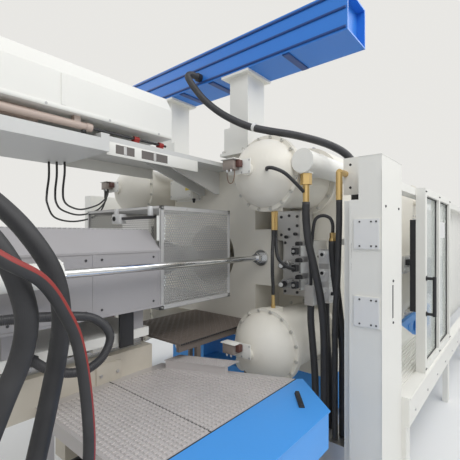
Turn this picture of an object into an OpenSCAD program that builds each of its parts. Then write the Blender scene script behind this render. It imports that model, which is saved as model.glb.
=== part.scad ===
// Two-platen injection moulding machine with a second injection unit above the first
// The origin is the centre of the fixed platen's mould face, on the machine axis
// +X runs from the injection side to the clamp side, +Y to the far side, +Z up

/* [Machine] */
// Height of the machine axis above the floor
axis_h = 1585; // [1500:5:1700]
// Tie bar spacing across the machine
tie_pitch_y = 1720; // [1700:10:1780]
// Tie bar spacing up the machine
tie_pitch_z = 1370; // [1350:10:1420]
// Diameter of a tie bar
tie_d = 200; // [160:5:220]
// Running gap between sliding faces
run_gap = 0.3; // [0.2:0.1:0.5]

/* [Platens] */
// Thickness of the fixed platen at its corners
fixed_t = 750; // [650:10:800]
// Thickness of the moving platen
moving_t = 700; // [600:10:800]
// Space between the platens at rest
daylight = 1150; // [1100:10:1250]
// Radius of a platen's corner round its tie bar
corner_r = 330; // [300:5:340]
// Half height of a platen between its corners
mid_h = 900; // [860:5:940]
// Depth of the raised middle on the fixed platen's back
boss_t = 400; // [300:10:450]
// Radius of the nozzle recess at the back
recess_r = 300; // [240:5:330]
// Diameter of the locating ring's bore in each platen
locating_d = 250; // [160:5:250]
// Depth of the locating bore
locating_depth = 40; // [25:5:60]
// Clamping hole pattern across the mould faces
clamp_hole_y = 1120; // [980:140:1120]
// Clamping hole pattern up the mould faces
clamp_hole_z = 840; // [700:140:980]
// Diameter of a clamping hole
clamp_hole_d = 24; // [16:1:30]
// Depth of a clamping hole
clamp_hole_depth = 60; // [40:5:80]

/* [Clamp cylinders] */
// Radius of a clamp cylinder's body
cylinder_r = 250; // [220:5:260]
// Length of a clamp cylinder's body
cylinder_l = 640; // [560:10:700]
// Radius of the end cover's flange
flange_r = 300; // [280:5:310]
// Thickness of the end cover's flange
flange_t = 60; // [40:5:80]
// Height of the domed part of the cover
dome_h = 220; // [190:5:240]
// Bolts in each cover
cover_bolt_count = 16; // [12:4:20]
// Width across flats of a cover bolt's head
cover_bolt_w = 36; // [30:1:46]

/* [Locking nuts] */
// Spacing of the grooves on a tie bar
groove_pitch = 50; // [50:50:50]
// Depth of a groove
groove_depth = 8; // [5:1:12]
// Thickness of a locking jaw along the bar
jaw_t = 200; // [150:50:200]
// Way a jaw moves to open
jaw_travel = 60; // [40:5:70]

/* [Injection unit] */
// Radius of the plasticising barrel
barrel_r = 130; // [120:5:140]
// Diameter of the plasticising screw
screw_d = 120; // [100:5:130]
// Distance of the carriage cylinders from the axis
pull_y = 620; // [590:5:650]
// Diameter of a carriage cylinder's rod
pull_rod_d = 48; // [40:1:60]
// Width of the grey barrel covers
cover_w = 1000; // [900:10:1060]
// Top of the grey barrel covers above the axis
cover_top = 95; // [80:5:140]
// Bottom of the grey barrel covers below the axis
cover_low = 295; // [260:5:330]
// Height of the ribbed hood over the barrel
hood_h = 140; // [120:5:180]
// Length of the grey barrel covers
cover_l = 1000; // [900:10:1100]
// Length of the nozzle guard
guard_l = 750; // [650:10:800]
// Top of the nozzle guard above the axis
guard_top = 405; // [350:5:450]
// Bottom of the nozzle guard below the axis
guard_low = 325; // [300:5:400]
// Sheet thickness of covers and guards
sheet_t = 4; // [3:0.5:6]

/* [Upper injection unit] */
// Width of the upper unit's housing
upper_w = 700; // [600:10:760]
// Length of the upper unit's housing
upper_l = 3230; // [2800:10:3600]
// Bottom of the upper housing above the axis
upper_low = 935; // [915:5:980]
// Height of the upper housing
upper_h = 330; // [280:5:400]
// Thickness of the beam that carries the upper unit
upper_beam_t = 80; // [60:5:100]
// Diameter of the upper carriage cylinder
upper_tube_d = 48; // [40:1:56]
// Diameter of the upper carriage cylinder's rod
upper_rod_d = 18; // [14:1:24]

/* [Guards] */
// Distance of the doors' outer face from the axis
door_y = 1820; // [1780:5:1900]
// Length of a door
door_l = 1250; // [1100:10:1350]
// Place of the front door's leading edge
door_x = -560; // [-600:10:-450]
// Thickness of a door frame
door_t = 70; // [50:2:80]
// Width of a door stile
stile_w = 60; // [50:2:90]
// Top of the doors above the axis
door_top = 585; // [540:5:640]
// Bottom rail's top below the axis
rail_low = 925; // [880:5:960]
// Height of the bottom rail
rail_h = 200; // [150:5:240]
// Length of the wide column beside the fixed platen
column_l = 440; // [380:10:480]
// Thickness of the wide column
column_t = 140; // [100:5:180]
// Place of the wide column's clamp side
column_x = -1120; // [-1160:10:-1100]
// Place of the clamp end's panel
end_x = 3900; // [3850:10:4200]

/* [Decks] */
// Tread deck's top below the axis
tread_low = 765; // [740:5:800]
// Mesh deck's top below the axis
mesh_low = 585; // [570:5:600]

/* [Robot beam] */
// Underside of the robot beam above the axis
beam_low = 1620; // [1550:10:1750]
// Height of the robot beam
beam_h = 300; // [220:10:350]
// Width of the robot beam
beam_w = 350; // [300:10:400]
// Length of the robot beam
beam_l = 3000; // [2600:50:3600]

/* [Hidden] */
$fn = 64;
ty = tie_pitch_y / 2;
tz = tie_pitch_z / 2;
floor_z = -axis_h;
cream = [0.88, 0.86, 0.8];
steel = [0.72, 0.73, 0.75];
dark = [0.12, 0.12, 0.13];
boss_w = 2 * ty - 620;
wing_h = 500;
fixed_back = -fixed_t;
boss_x = fixed_back - boss_t;
flange_x = fixed_back - cylinder_l;
moving_x = daylight;
moving_back = daylight + moving_t;
bar_end = 3700;
travel_shut = 450;
travel_open = 1250;
bed_top = -1100;
way_t = 30;
foot_h = 100;
lock_x = moving_back + run_gap + jaw_t / 2;
lock_rod_r = 30;
bed_in = 500;
bed_out = 1050;
shoe_w = 400;
shoe_l = 500;
rod_z = -5;
guard_front = -1450;
guard_back = guard_front - guard_l;
cover_back = guard_back - cover_l;
upper_front = -1970;
upper_back = upper_front - upper_l;
stand_top = 825;
stand_plate_t = 35;
upper_rod_y = -300;
upper_rod_z = 885;
upper_rail_y = 200;
rail_y = 250;
base_out = -rail_y - 90;
hose_port_x = [-3700, -3820, -3920];
rail_top = -560;
base_top = -600;
carriage_low = -500;
carriage_t = 60;
carriage_back = -5600;
housing_x = -3700;
housing_l = 400;
pin_spread = 200;
pin_r = 20;
centre_pin_r = 30;
column_out = door_y - 40;
column_in = column_out - column_t;
port_z = 290;
port_x = [-1330, -1290];
pilot_y = -ty - cylinder_r - 100;
pilot_z = tz + 50;
pilot_r = 86;
pilot_x = -1430;
elbow_at = [-1440, -1465, 629];
base_back = -6000;
base_front = -2150;
base_h = 220;
drive_front = -4500;
drive_l = 400;
unit_w = 380;
leg_x = -4950;
leg_t = 160;
sensor_x = flange_x - flange_t - dome_h - 20;
hose_port_y = -420;
hose_foot_z = -1250;
conduit_d = 60;
supply_d = 64;
thin_supply_d = 40;
carriage_conduit_d = 50;
pressure_d = 56;
return_d = 52;
elbow_d = 42;
twin_d = 28;
loop_d = 24;
cable_d = 16;
wire_d = 6;

// Routes of the cords, point by point from the end where each leaves its fitting
route_conduit = [[-1420, -70, 1690], [-1450, -70, 1690], [-1497, -74, 1683], [-1541, -86, 1660],
  [-1575, -112, 1622], [-1592, -150, 1575], [-1595, -215, 1490], [-1570, -320, 1360], [-1520, -480, 1220], [-1460, -680, 1100], [-1412, -860, 1034],
  [-1365, -1100, 960], [-1290, -1320, 870], [-1235, -1450, 770], [-1210, -1490, 640],
  [-1210, -1490, 480], [-1215, -1485, 100], [-1220, -1480, -400], [-1220, -1480, -900],
  [-1220, -1480, hose_foot_z]];
route_supply_a = [[hose_port_x[0], hose_port_y, 785], [hose_port_x[0], -500, 785],
  [-3692, -600, 765], [-3640, -780, 660], [-3500, -1000, 450],
  [-3350, -1110, 290], [-3280, -1180, 180], [-3220, -1200, 60], [-3195, -1200, -70],
  [-3205, -1200, -200], [-3240, -1200, -380], [-3290, -1200, -600], [-3340, -1200, -850],
  [-3370, -1200, -1050], [-3370, -1200, hose_foot_z]];
route_supply_b = [[hose_port_x[1], hose_port_y, 785], [hose_port_x[1], -500, 785],
  [-3812, -610, 765], [-3780, -760, 670], [-3680, -980, 480],
  [-3540, -1190, 310], [-3455, -1262, 225], [-3397, -1300, 130], [-3364, -1312, 40],
  [-3345, -1310, -60],
  [-3360, -1300, -170], [-3410, -1300, -290], [-3470, -1300, -450], [-3530, -1300, -680],
  [-3560, -1300, -950], [-3560, -1300, hose_foot_z]];
route_supply_c = [[hose_port_x[2], hose_port_y, 785], [hose_port_x[2], -500, 785],
  [-3914, -650, 755], [-3880, -850, 620], [-3720, -1140, 390],
  [-3540, -1330, 220], [-3430, -1390, 130], [-3330, -1375, 65], [-3255, -1350, -40],
  [-3200, -1330, -160], [-3170, -1330, -360], [-3165, -1330, -560], [-3190, -1300, -800],
  [-3230, -1240, -1050], [-3230, -1240, hose_foot_z]];
route_carriage = [[-3400, -380, -200], [-3400, -480, -200], [-3330, -580, -195], [-3200, -620, -190],
  [-2960, -620, -215], [-2760, -620, -260], [-2660, -620, -370], [-2700, -620, -480],
  [-2790, -618, -530], [-2880, -615, -525], [-2940, -599, -505], [-2984, -555, -485],
  [-3000, -495, -472], [-3000, -460, -470], [-3000, -420, -470]];
route_pressure = [[pilot_x, pilot_y, 440], [pilot_x, pilot_y, 320], [-1422, -1225, 150],
  [-1405, -1265, -50], [-1385, -1300, -250], [-1368, -1320, -500], [-1360, -1320, -800],
  [-1360, -1320, hose_foot_z]];
route_elbow = [[elbow_at[0], elbow_at[1], 437], [elbow_at[0], elbow_at[1], 300], [-1430, -1455, 100],
  [-1410, -1440, -100], [-1380, -1410, -400], [-1360, -1400, -700], [-1360, -1400, hose_foot_z]];
route_loop = [[-1330, -1370, 215], [-1330, -1370, 275], [-1336, -1351, 322], [-1348, -1304, 341],
  [-1360, -1257, 322], [-1366, -1238, 265], [-1364, -1222, 130], [-1346, -1200, 0],
  [-1325, -1195, -100], [-1325, -1195, -180]];
route_drop = [[-1330, -1370, 155], [-1330, -1370, 80], [-1325, -1385, -100], [-1310, -1410, -350],
  [-1295, -1430, -600], [-1290, -1430, -850], [-1290, -1430, hose_foot_z]];
route_return_a = [[-1325, -1195, -330], [-1325, -1195, -450], [-1330, -1215, -650],
  [-1335, -1235, -900], [-1335, -1235, hose_foot_z]];
route_return_b = [[-1200, -1260, -320], [-1200, -1260, -430], [-1215, -1275, -620],
  [-1235, -1300, -800], [-1240, -1310, -950], [-1240, -1310, hose_foot_z]];
route_twin_a = [[port_x[0], -ty, 240], [port_x[0], -ty, 170], [-1348, -866, 90], [-1372, -880, 10],
  [-1372, -880, -60], [-1348, -866, -140], [port_x[0], -ty, -220], [port_x[0], -ty, -290]];
route_twin_b = [[port_x[1], -ty, 240], [port_x[1], -ty, 170], [-1312, -880, 90], [-1330, -900, 30],
  [-1322, -920, -10], [-1299, -948, -44], [-1265, -970, -67], [-1228, -980, -75],
  [-1210, -980, -75]];
route_cable_a = [[-2540, 200, 745], [-2540, 200, 660], [-2525, 260, 540], [-2460, 380, 470],
  [-2330, 540, 440], [-2130, 740, 440], [-1900, 890, 500], [-1805, 930, 555],
  [-1755, 943, 605], [-1740, 945, 645], [-1740, 945, 685]];
route_cable_b = [[-2580, 240, 745], [-2580, 240, 640], [-2565, 300, 530], [-2500, 430, 455],
  [-2370, 600, 410], [-2130, 790, 390], [-1880, 930, 450], [-1755, 970, 560],
  [-1740, 975, 630], [-1740, 975, 685]];
route_cable_c = [[-2620, 280, 745], [-2620, 280, 630], [-2605, 350, 520], [-2540, 500, 450],
  [-2400, 680, 350], [-2140, 850, 330], [-1860, 970, 400], [-1750, 1002, 530],
  [-1740, 1005, 620], [-1740, 1005, 685]];

// A block between two corners
module block(lo, hi) {
  translate(lo) cube(hi - lo);
}

// A round bar along X
module bar_x(x0, x1, r, y = 0, z = 0) {
  translate([x0, y, z]) rotate([0, 90, 0]) cylinder(h = x1 - x0, r = r);
}

// A round bar along Z
module bar_z(z0, z1, r, x = 0, y = 0) {
  translate([x, y, z0]) cylinder(h = z1 - z0, r = r);
}

// A round bar along Y
module bar_y(y0, y1, r, x = 0, z = 0) {
  translate([x, y0, z]) rotate([-90, 0, 0]) cylinder(h = y1 - y0, r = r);
}

// A plate whose outline lies across the machine
module plate_x(x0, t) {
  translate([x0, 0, 0]) rotate([90, 0, 90]) linear_extrude(t) children();
}

// One copy at each tie bar
module at_tie_bars() {
  for (y = [-ty, ty], z = [-tz, tz]) translate([0, y, z]) children();
}

// One copy on each side of the machine
module both_sides() {
  children();
  mirror([0, 1, 0]) children();
}

// A profile turned about a line along X
module turned_x() {
  rotate([0, 90, 0]) rotate_extrude() children();
}

// Direction of a vector
function unit(v) = v / norm(v);

// Point at part t of the stretch from point i of a route
function between(p, i, t) =
  let (a = p[max(i - 1, 0)], b = p[i], c = p[i + 1], d = p[min(i + 2, len(p) - 1)])
  0.5 * (2 * b + (c - a) * t + (2 * a - 5 * b + 4 * c - d) * t * t
    + (3 * b - a - 3 * c + d) * t * t * t);

// Smooth line through a route's points
function smooth(p, n) = concat(
  [for (i = [0 : len(p) - 2], k = [0 : n - 1]) between(p, i, k / n)], [p[len(p) - 1]]);

// Directions of the line's rings, with the end faces square to the route's end stretches
function heading(q, p) = concat([unit(p[1] - p[0])],
  [for (i = [1 : len(q) - 2]) unit(q[i + 1] - q[i - 1])],
  [unit(p[len(p) - 1] - p[len(p) - 2])]);

// Side vectors of the rings, each carried on from the last
function sides(t, i, last) = i == len(t) ? [] :
  let (s = unit(last - (last * t[i]) * t[i])) concat([s], sides(t, i + 1, s));

// A hose, cable or conduit along a route
module hose(route, d, n = 2, edges = 8) {
  q = smooth(route, n);
  t = heading(q, route);
  across = abs(t[0][2]) > 0.9 ? [1, 0, 0] : [0, 0, 1];
  s = sides(t, 0, across);
  rings = len(q);
  points = [for (i = [0 : rings - 1], k = [0 : edges - 1])
    q[i] + d / 2 * (cos(360 * k / edges) * s[i] + sin(360 * k / edges) * cross(t[i], s[i]))];
  skin = [for (i = [0 : rings - 2], k = [0 : edges - 1])
    let (a = i * edges + k, b = i * edges + (k + 1) % edges)
    each [[a, a + edges, b], [b, a + edges, b + edges]]];
  start = [for (k = [1 : edges - 2]) [0, k, k + 1]];
  last = (rings - 1) * edges;
  finish = [for (k = [1 : edges - 2]) [last, last + k + 1, last + k]];
  polyhedron(points, concat(skin, start, finish));
}

// Outline of a platen, with square feet below
module platen_outline(foot) {
  square([2 * ty + 2 * corner_r, 2 * tz], center = true);
  square([2 * ty, 2 * mid_h], center = true);
  for (y = [-ty, ty], z = [-tz, tz]) translate([y, z]) circle(corner_r);
  for (side = [-1, 1]) translate([side * (ty - 60), (foot - tz) / 2])
    square([shoe_w + 160, -tz - foot], center = true);
}

// Four clamping holes in a mould face, drilled along +X from x
module clamping_holes(x) {
  for (y = [-1, 1], z = [-1, 1])
    bar_x(x, x + clamp_hole_depth + 1, clamp_hole_d / 2, y * clamp_hole_y / 2, z * clamp_hole_z / 2);
}

// Blue welded bed of the clamp side
module clamp_bed() color([0.16, 0.5, 0.9]) {
  both_sides() difference() {
    block([fixed_back, bed_in, floor_z + foot_h], [end_x - 100, bed_out, bed_top]);
    for (x = [0 : 5])
      bar_y(bed_in - 1, bed_out + 1, 90, 150 + 620 * x, (floor_z + foot_h + bed_top) / 2);
  }
  for (x = [fixed_back, 1600, end_x - 350])
    block([x, -bed_in, floor_z + foot_h], [x + 250, bed_in, bed_top - 150]);
}

// Levelling feet under the bed and the injection base
module levelling_feet() color(dark) {
  for (x = [fixed_back + 150, 900, 2300, end_x - 250], side = [-1, 1])
    translate([x, side * (bed_in + bed_out) / 2, floor_z]) levelling_foot();
  for (x = [base_back + 200, base_back + 2000, base_front - 250], side = [-1, 1])
    translate([x, side * rail_y, floor_z]) levelling_foot();
}

// One foot: rubber pad, steel disc and threaded stem's nut
module levelling_foot() {
  rotate_extrude()
    polygon([[0, 0], [110, 0], [110, 25], [95, 35], [40, 45], [30, 60], [30, foot_h], [0, foot_h]]);
  translate([0, 0, 60]) cylinder(h = 24, r = 46, $fn = 6);
}

// Hardened ways that the moving platen slides on
module bed_ways() color(steel) {
  both_sides()
    block([moving_x - travel_shut - 100, ty - 60 - shoe_w / 2, bed_top],
      [end_x - 150, ty - 60 + shoe_w / 2, bed_top + way_t]);
}

// Cast fixed platen with the nozzle recess in its back
module fixed_platen() color(cream) difference() {
  union() {
    plate_x(fixed_back, fixed_t) platen_outline(bed_top);
    plate_x(boss_x, boss_t) {
      translate([-boss_w / 2, -600]) square([boss_w, 600 + mid_h]);
      square([2 * (pull_y + 100), wing_h], center = true);
    }
  }
  at_tie_bars() bar_x(fixed_back - 1, 1, tie_d / 2 + run_gap);
  turned_x() polygon([[0, boss_x - 1], [recess_r, boss_x - 1], [recess_r, boss_x + 120],
    [barrel_r + 20, -280], [75, -280], [75, -locating_depth], [locating_d / 2, -locating_depth],
    [locating_d / 2, 1], [0, 1]]);
  clamping_holes(-clamp_hole_depth);
}

// Bodies of the four clamp cylinders
module clamp_cylinders() color(cream) at_tie_bars() difference() {
  union() {
    bar_x(flange_x, fixed_back, cylinder_r);
    block([port_x[0] - 40, -45, -port_z], [port_x[1] + 40, 45, port_z]);
    bar_x(fixed_back - 50, fixed_back, flange_r);
    bar_x(flange_x, flange_x + flange_t, cylinder_r + 14);
  }
  bar_x(flange_x - 1, fixed_back + 1, tie_d / 2 + run_gap);
}

// Domed covers that close the clamp cylinders
module cylinder_covers() color(cream) at_tie_bars() cylinder_cover();

// One cover: bolted flange, spherical cap and a flat seat for its sensor
module cylinder_cover() {
  collar = flange_r - 30;
  cap_r = (collar * collar + dome_h * dome_h) / (2 * dome_h);
  bar_x(flange_x - flange_t, flange_x, flange_r);
  intersection() {
    translate([flange_x - flange_t - dome_h + cap_r, 0, 0]) sphere(cap_r, $fn = 96);
    bar_x(flange_x - flange_t - dome_h, flange_x - flange_t, collar);
  }
  bar_x(sensor_x, sensor_x + 60, 45);
}

// Hexagon bolts in pockets round the covers
module cover_bolts() color(steel) at_tie_bars()
  for (i = [0 : cover_bolt_count - 1]) rotate([360 * (i + 0.5) / cover_bolt_count, 0, 0])
    translate([flange_x - flange_t - 14, 0, flange_r - 14])
      rotate([0, 90, 0]) cylinder(h = 14, d = cover_bolt_w * 0.7, $fn = 6);

// Tie bars with a comb of locking grooves on the clamp side
module tie_bars() color(steel) {
  first = floor((moving_back - travel_shut) / groove_pitch) * groove_pitch;
  last = moving_back + travel_open + jaw_t + groove_pitch;
  r = tie_d / 2;
  grooves = [for (x = [first : groove_pitch : last])
    each [[r, x], [r - groove_depth, x], [r - groove_depth, x + groove_pitch / 2],
      [r, x + groove_pitch / 2]]];
  at_tie_bars() turned_x()
    polygon(concat([[0, flange_x], [r, flange_x]], grooves,
      [[r, bar_end - 10], [r - 10, bar_end], [0, bar_end]]));
}

// Barrels of the two cylinders that move the platen
module traverse_barrels() color(cream) both_sides() {
  difference() {
    bar_x(-1200, 600, 70, 430, -985);
    bar_x(-1150, 601, 35 + run_gap, 430, -985);
  }
  block([fixed_back + 100, 380, -915], [fixed_back + 300, 480, -mid_h]);
}

// Welded base of the injection side, with its legs
module injection_base() color([0.8, 0.77, 0.7]) {
  legs = [base_back + 50, base_back + 1850, base_front - 400];
  both_sides() {
    block([base_back, rail_y - 90, base_top - base_h], [base_front, rail_y + 90, base_top]);
    for (x = legs)
      block([x, rail_y - 80, floor_z + foot_h], [x + 300, rail_y + 80, base_top - base_h]);
  }
  for (x = legs)
    block([x, 90 - rail_y, base_top - base_h + 20], [x + 300, rail_y - 90, base_top - 40]);
}

// Guide rails of the injection carriage
module injection_ways() color(steel) both_sides()
  block([base_back + 50, rail_y - 30, base_top], [base_front - 50, rail_y + 30, rail_top]);

// Bright rods that pull the carriage to the platen, with their nuts
module carriage_rods() color(steel) both_sides() {
  bar_x(-3900, boss_x, pull_rod_d / 2, pull_y, rod_z);
  difference() {
    union() {
      bar_x(boss_x - 18, boss_x, 72, pull_y, rod_z);
      translate([boss_x - 60, pull_y, rod_z]) rotate([0, 90, 0]) cylinder(h = 42, r = 48, $fn = 6);
      translate([boss_x - 92, pull_y, rod_z]) rotate([0, 90, 0]) cylinder(h = 28, r = 44, $fn = 6);
    }
    bar_x(boss_x - 93, boss_x + 1, pull_rod_d / 2, pull_y, rod_z);
  }
}

// Beam, legs, rails and front plate that carry the upper unit
module upper_stand() color([0.78, 0.8, 0.84]) {
  block([upper_back, -upper_w / 2, stand_top - upper_beam_t], [-2500, upper_w / 2, stand_top]);
  block([-2500, -310, stand_top], [boss_x, 310, stand_top + stand_plate_t]);
  block([-2560, -upper_w / 2, stand_top], [-2500, upper_w / 2, stand_top + stand_plate_t]);
  for (x = hose_port_x)
    block([x - 30, hose_port_y + 30, stand_top - upper_beam_t], [x + 30, -upper_w / 2, stand_top]);
  both_sides() {
    block([upper_back + 40, upper_rail_y - 20, stand_top], [-2700, upper_rail_y + 20, stand_top + 40]);
    block([leg_x, 640, floor_z], [leg_x + leg_t, 640 + leg_t, stand_top - upper_beam_t]);
    block([leg_x, upper_w / 2 - 60, stand_top - 240], [leg_x + leg_t, 640, stand_top - upper_beam_t]);
    translate([0, 110, 0]) rotate([90, 0, 0]) linear_extrude(20)
      polygon([[boss_x, stand_top], [boss_x, stand_top - 220], [boss_x - 60, stand_top - 220],
        [-1900, stand_top]]);
  }
}

// Rod of the upper carriage cylinder in its two red clamps on the front plate
module upper_rod() {
  color(dark) bar_x(-3450, upper_front - 20, upper_rod_d / 2, upper_rod_y, upper_rod_z);
  for (x = [-2260, -2040]) color([0.62, 0.12, 0.1]) {
    block([x - 20, upper_rod_y - 8, stand_top + stand_plate_t], [x + 20, upper_rod_y + 26, upper_rod_z]);
    bar_x(x - 20, x + 20, 17, upper_rod_y, upper_rod_z);
  }
}

// White posts with end plates under the robot beam
module beam_posts() color(cream) both_sides() {
  block([-1400, 340, mid_h], [-950, 610, mid_h + 25]);
  block([-1330, 400, mid_h + 25], [-1080, 600, beam_low - 20]);
  block([-1380, 340, beam_low - 20], [-1030, 640, beam_low]);
  block([-1342, 340, mid_h + 25], [-1330, 610, mid_h + 260]);
}

// Blue beam of the take-out robot
module robot_beam() color([0.1, 0.4, 0.82]) difference() {
  block([-1205 - beam_w / 2, -beam_l / 2, beam_low], [-1205 + beam_w / 2, beam_l / 2, beam_low + beam_h]);
  for (side = [-1, 1]) translate([-1205, side * beam_l / 2, beam_low + beam_h / 2])
    cube([beam_w - 24, 120, beam_h - 24], center = true);
}

// Tread deck beside the injection unit, with its slanted end and a step
module tread_deck() color([0.8, 0.77, 0.76]) {
  top = -tread_low;
  translate([0, 0, top - 6]) linear_extrude(6)
    polygon([[-2950, base_out], [-2060, base_out], [-1670, -1265], [-2950, -1265]]);
  translate([0, 0, top - 86]) linear_extrude(80) difference() {
    polygon([[-2940, base_out], [-2070, base_out], [-1700, -1255], [-2940, -1255]]);
    polygon([[-2880, -415], [-2110, -415], [-1790, -1195], [-2880, -1195]]);
  }
  for (p = [[-2940, -415], [-2940, -1255], [-2200, -415], [-1900, -1255]])
    block([p[0], p[1], floor_z], [p[0] + 60, p[1] + 60, top - 86]);
  translate([0, 0, top + 50]) linear_extrude(6)
    polygon([[-2110, -430], [-1960, -430], [-1775, -860], [-1925, -860]]);
  translate([0, 0, top]) linear_extrude(50)
    polygon([[-2105, -440], [-2075, -440], [-1890, -850], [-1920, -850]]);
}

// Blue corner deck beside the tread deck
module side_deck() color([0.16, 0.5, 0.9]) {
  top = -tread_low;
  translate([0, 0, top - 6]) linear_extrude(6)
    polygon([[-2950, -1265], [-1670, -1265], [-1640, -1295], [-1930, -1620], [-2950, -1620]]);
  translate([0, 0, top - 206]) linear_extrude(200) difference() {
    polygon([[-2945, -1275], [-1672, -1275], [-1655, -1296], [-1936, -1612], [-2945, -1612]]);
    polygon([[-2930, -1290], [-1690, -1290], [-1680, -1300], [-1942, -1597], [-2930, -1597]]);
  }
  for (p = [[-2940, -1345], [-2940, -1605], [-2100, -1605], [-1745, -1335]])
    block([p[0], p[1], floor_z], [p[0] + 50, p[1] + 50, top - 206]);
}

// Brown mesh deck under the nozzle guard
module mesh_deck() color([0.5, 0.45, 0.4]) {
  top = -mesh_low;
  block([-2060, -545, top - 12], [boss_x, 235, top]);
  for (y = [-535, 195]) block([-2060, y, top - 62], [boss_x, y + 30, top - 12]);
  for (p = [[-1880, -535], [-1260, -535], [-1880, 195], [-1260, 195]])
    block([p[0], p[1], floor_z], [p[0] + 40, p[1] + 30, top - 62]);
}

// Junction box on its plate, on the back of the fixed platen
module junction_box() color(cream) {
  block([boss_x - 110, 160, 580], [boss_x - 10, 500, 780]);
  block([boss_x - 10, 140, 560], [boss_x, 520, 800]);
  block([boss_x - 118, 170, 590], [boss_x - 110, 490, 770]);
}

// Pilot cylinder beside the upper near clamp cylinder, and the conduit's saddle on the cover
module pilot_valves() color(cream) {
  difference() {
    union() {
      bar_x(-1475, fixed_back, pilot_r, pilot_y, pilot_z);
      bar_x(-1490, -1475, pilot_r + 2, pilot_y, pilot_z);
      block([pilot_x - 35, pilot_y - 40, tz - 38], [pilot_x + 35, pilot_y + 40, pilot_z]);
      block([-1260, pilot_y, tz - 30], [-1160, -ty - cylinder_r + 40, tz + 50]);
    }
    bar_x(flange_x - flange_t - 16, flange_x + 1, flange_r + run_gap, -ty, tz);
    bar_x(fixed_back - 51, fixed_back + 1, flange_r + run_gap, -ty, tz);
    bar_x(-1261, -1159, cylinder_r, -ty, tz);
  }
  difference() {
    block([-1430, -ty - 25, tz + flange_r - 20], [-1395, 25 - ty, tz + flange_r + 6]);
    bar_x(-1431, -1394, flange_r, -ty, tz);
  }
}

// Manifolds and valve bodies between the near cylinders, and the hoses' foot blocks
module valve_blocks() color(steel) {
  block([-1040, -1060, -330], [fixed_back, -780, 150]);
  block([-1040, -950, 150], [-810, -725, 410]);
  for (z = [-260, -120, 20]) block([-1160, -1020, z], [-1040, -940, z + 90]);
  for (z = [-220, -60]) bar_x(-1150, -1040, 38, -860, z);
  block([-1240, -1300, -320], [-1160, -1220, 90]);
  for (z = [-230, -90, 50]) bar_x(-1262, -1240, 16, -1260, z);
  block([-1240, -1220, -270], [-1200, -1155, -210]);
  block([-1200, -1185, -270], [fixed_back, -1155, -210]);
  block([-1360, -1230, -330], [-1240, -1160, -180]);
  block([-1420, -1540, floor_z], [-1160, -1150, hose_foot_z]);
  block([-3650, -1420, floor_z], [-3100, -1120, hose_foot_z]);
}

// Black coils and knobs on the valves, and the conduit's gland on the robot beam
module valve_connectors() color(dark) {
  for (z = [-260, -120, 20]) block([-1210, -1000, z + 18], [-1160, -960, z + 72]);
  for (z = [-220, -60]) bar_x(-1210, -1150, 26, -860, z);
  bar_x(-1066, -1040, 14, -817, 182);
  bar_x(-1066, -1040, 14, -907, 208);
  gland = route_conduit[0];
  bar_x(gland[0], -1205 - beam_w / 2, conduit_d / 2 + 8, gland[1], gland[2]);
}

// Brass fittings where the hoses end
module hose_fittings() color([0.78, 0.6, 0.32]) {
  translate([pilot_x, pilot_y, tz - 119]) cylinder(h = 81, r = 42, $fn = 6);
  bar_z(440, tz - 119, 24, pilot_x, pilot_y);
  for (x = port_x) {
    translate([x, -ty, 365]) cylinder(h = 30, r = 18, $fn = 6);
    bar_z(240, 365, 15, x, -ty);
  }
  translate([port_x[0], -ty, port_z - tz]) cylinder(h = 30, r = 18, $fn = 6);
  bar_z(port_z - tz + 30, -290, 15, port_x[0], -ty);
  for (i = [0 : 2])
    bar_y(hose_port_y, hose_port_y + 30, i < 2 ? supply_d / 2 + 2 : thin_supply_d / 2 + 2,
      hose_port_x[i], stand_top - upper_beam_t / 2);
  bar_x(elbow_at[0], -1330, 22, elbow_at[1], elbow_at[2]);
  bar_z(437, elbow_at[2], 22, elbow_at[0], elbow_at[1]);
  translate([-1330, -1370, 175]) cylinder(h = 40, r = 22, $fn = 6);
  bar_z(155, 175, 26, -1330, -1370);
}

// Position sensor boxes and their plates on the dome covers
module sensor_boxes() color([0.75, 0.74, 0.72]) at_tie_bars() {
  block([sensor_x - 6, -40, -30], [sensor_x, 170, 60]);
  block([sensor_x - 80, 60, 0], [sensor_x - 6, 170, 70]);
}

// White columns and rails that carry the sliding doors
module guard_frame() color(cream) both_sides() {
  block([column_x - column_l, column_in, floor_z], [column_x, column_out, tz]);
  block([column_x, door_y - 70, -rail_low - rail_h], [end_x, door_y + 10, -rail_low]);
  block([column_x, column_in + 20, door_top - 60], [end_x, door_y - door_t - 0.5, door_top]);
  block([end_x - 120, column_in, floor_z], [end_x, door_y - 70, tz]);
  for (x = [column_x, 600, 2200, end_x - 160])
    block([x, door_y - 60, floor_z], [x + 100, door_y - 10, -rail_low - rail_h]);
}

// Fixed white panels round the clamp end
module guard_panels() color(cream) {
  both_sides() {
    block([800, column_in + 16, -rail_low], [end_x - 120, column_in + 20, door_top]);
    block([column_x, column_in, -rail_low - rail_h], [column_x + 4, door_y - 70, -rail_low]);
  }
  block([end_x - 24, -column_in, -rail_low], [end_x - 20, column_in, tz]);
}

// Screwed plates on the near column and the brackets that it carries
module fixing_plates() color([0.86, 0.86, 0.85]) {
  side = column_x - column_l;
  for (z = [tz - 480, tz - 960])
    block([side - 8, -column_in - 130, z - 95], [side, 30 - column_in, z + 95]);
  block([-1330, -column_in, 480], [-1318, -1450, 740]);
  block([-1350, -column_in, 128], [-1318, -1400, 172]);
  translate([0, 0, floor_z]) linear_extrude(420 - floor_z)
    polygon([[side, -column_in], [side, -1582], [side + 60, -1582], [side + 60, -1525],
      [side + 120, -1525], [side + 120, -1529], [side + 64, -1529], [side + 64, -1586],
      [side + 4, -1586], [side + 4, -column_in]]);
}

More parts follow.
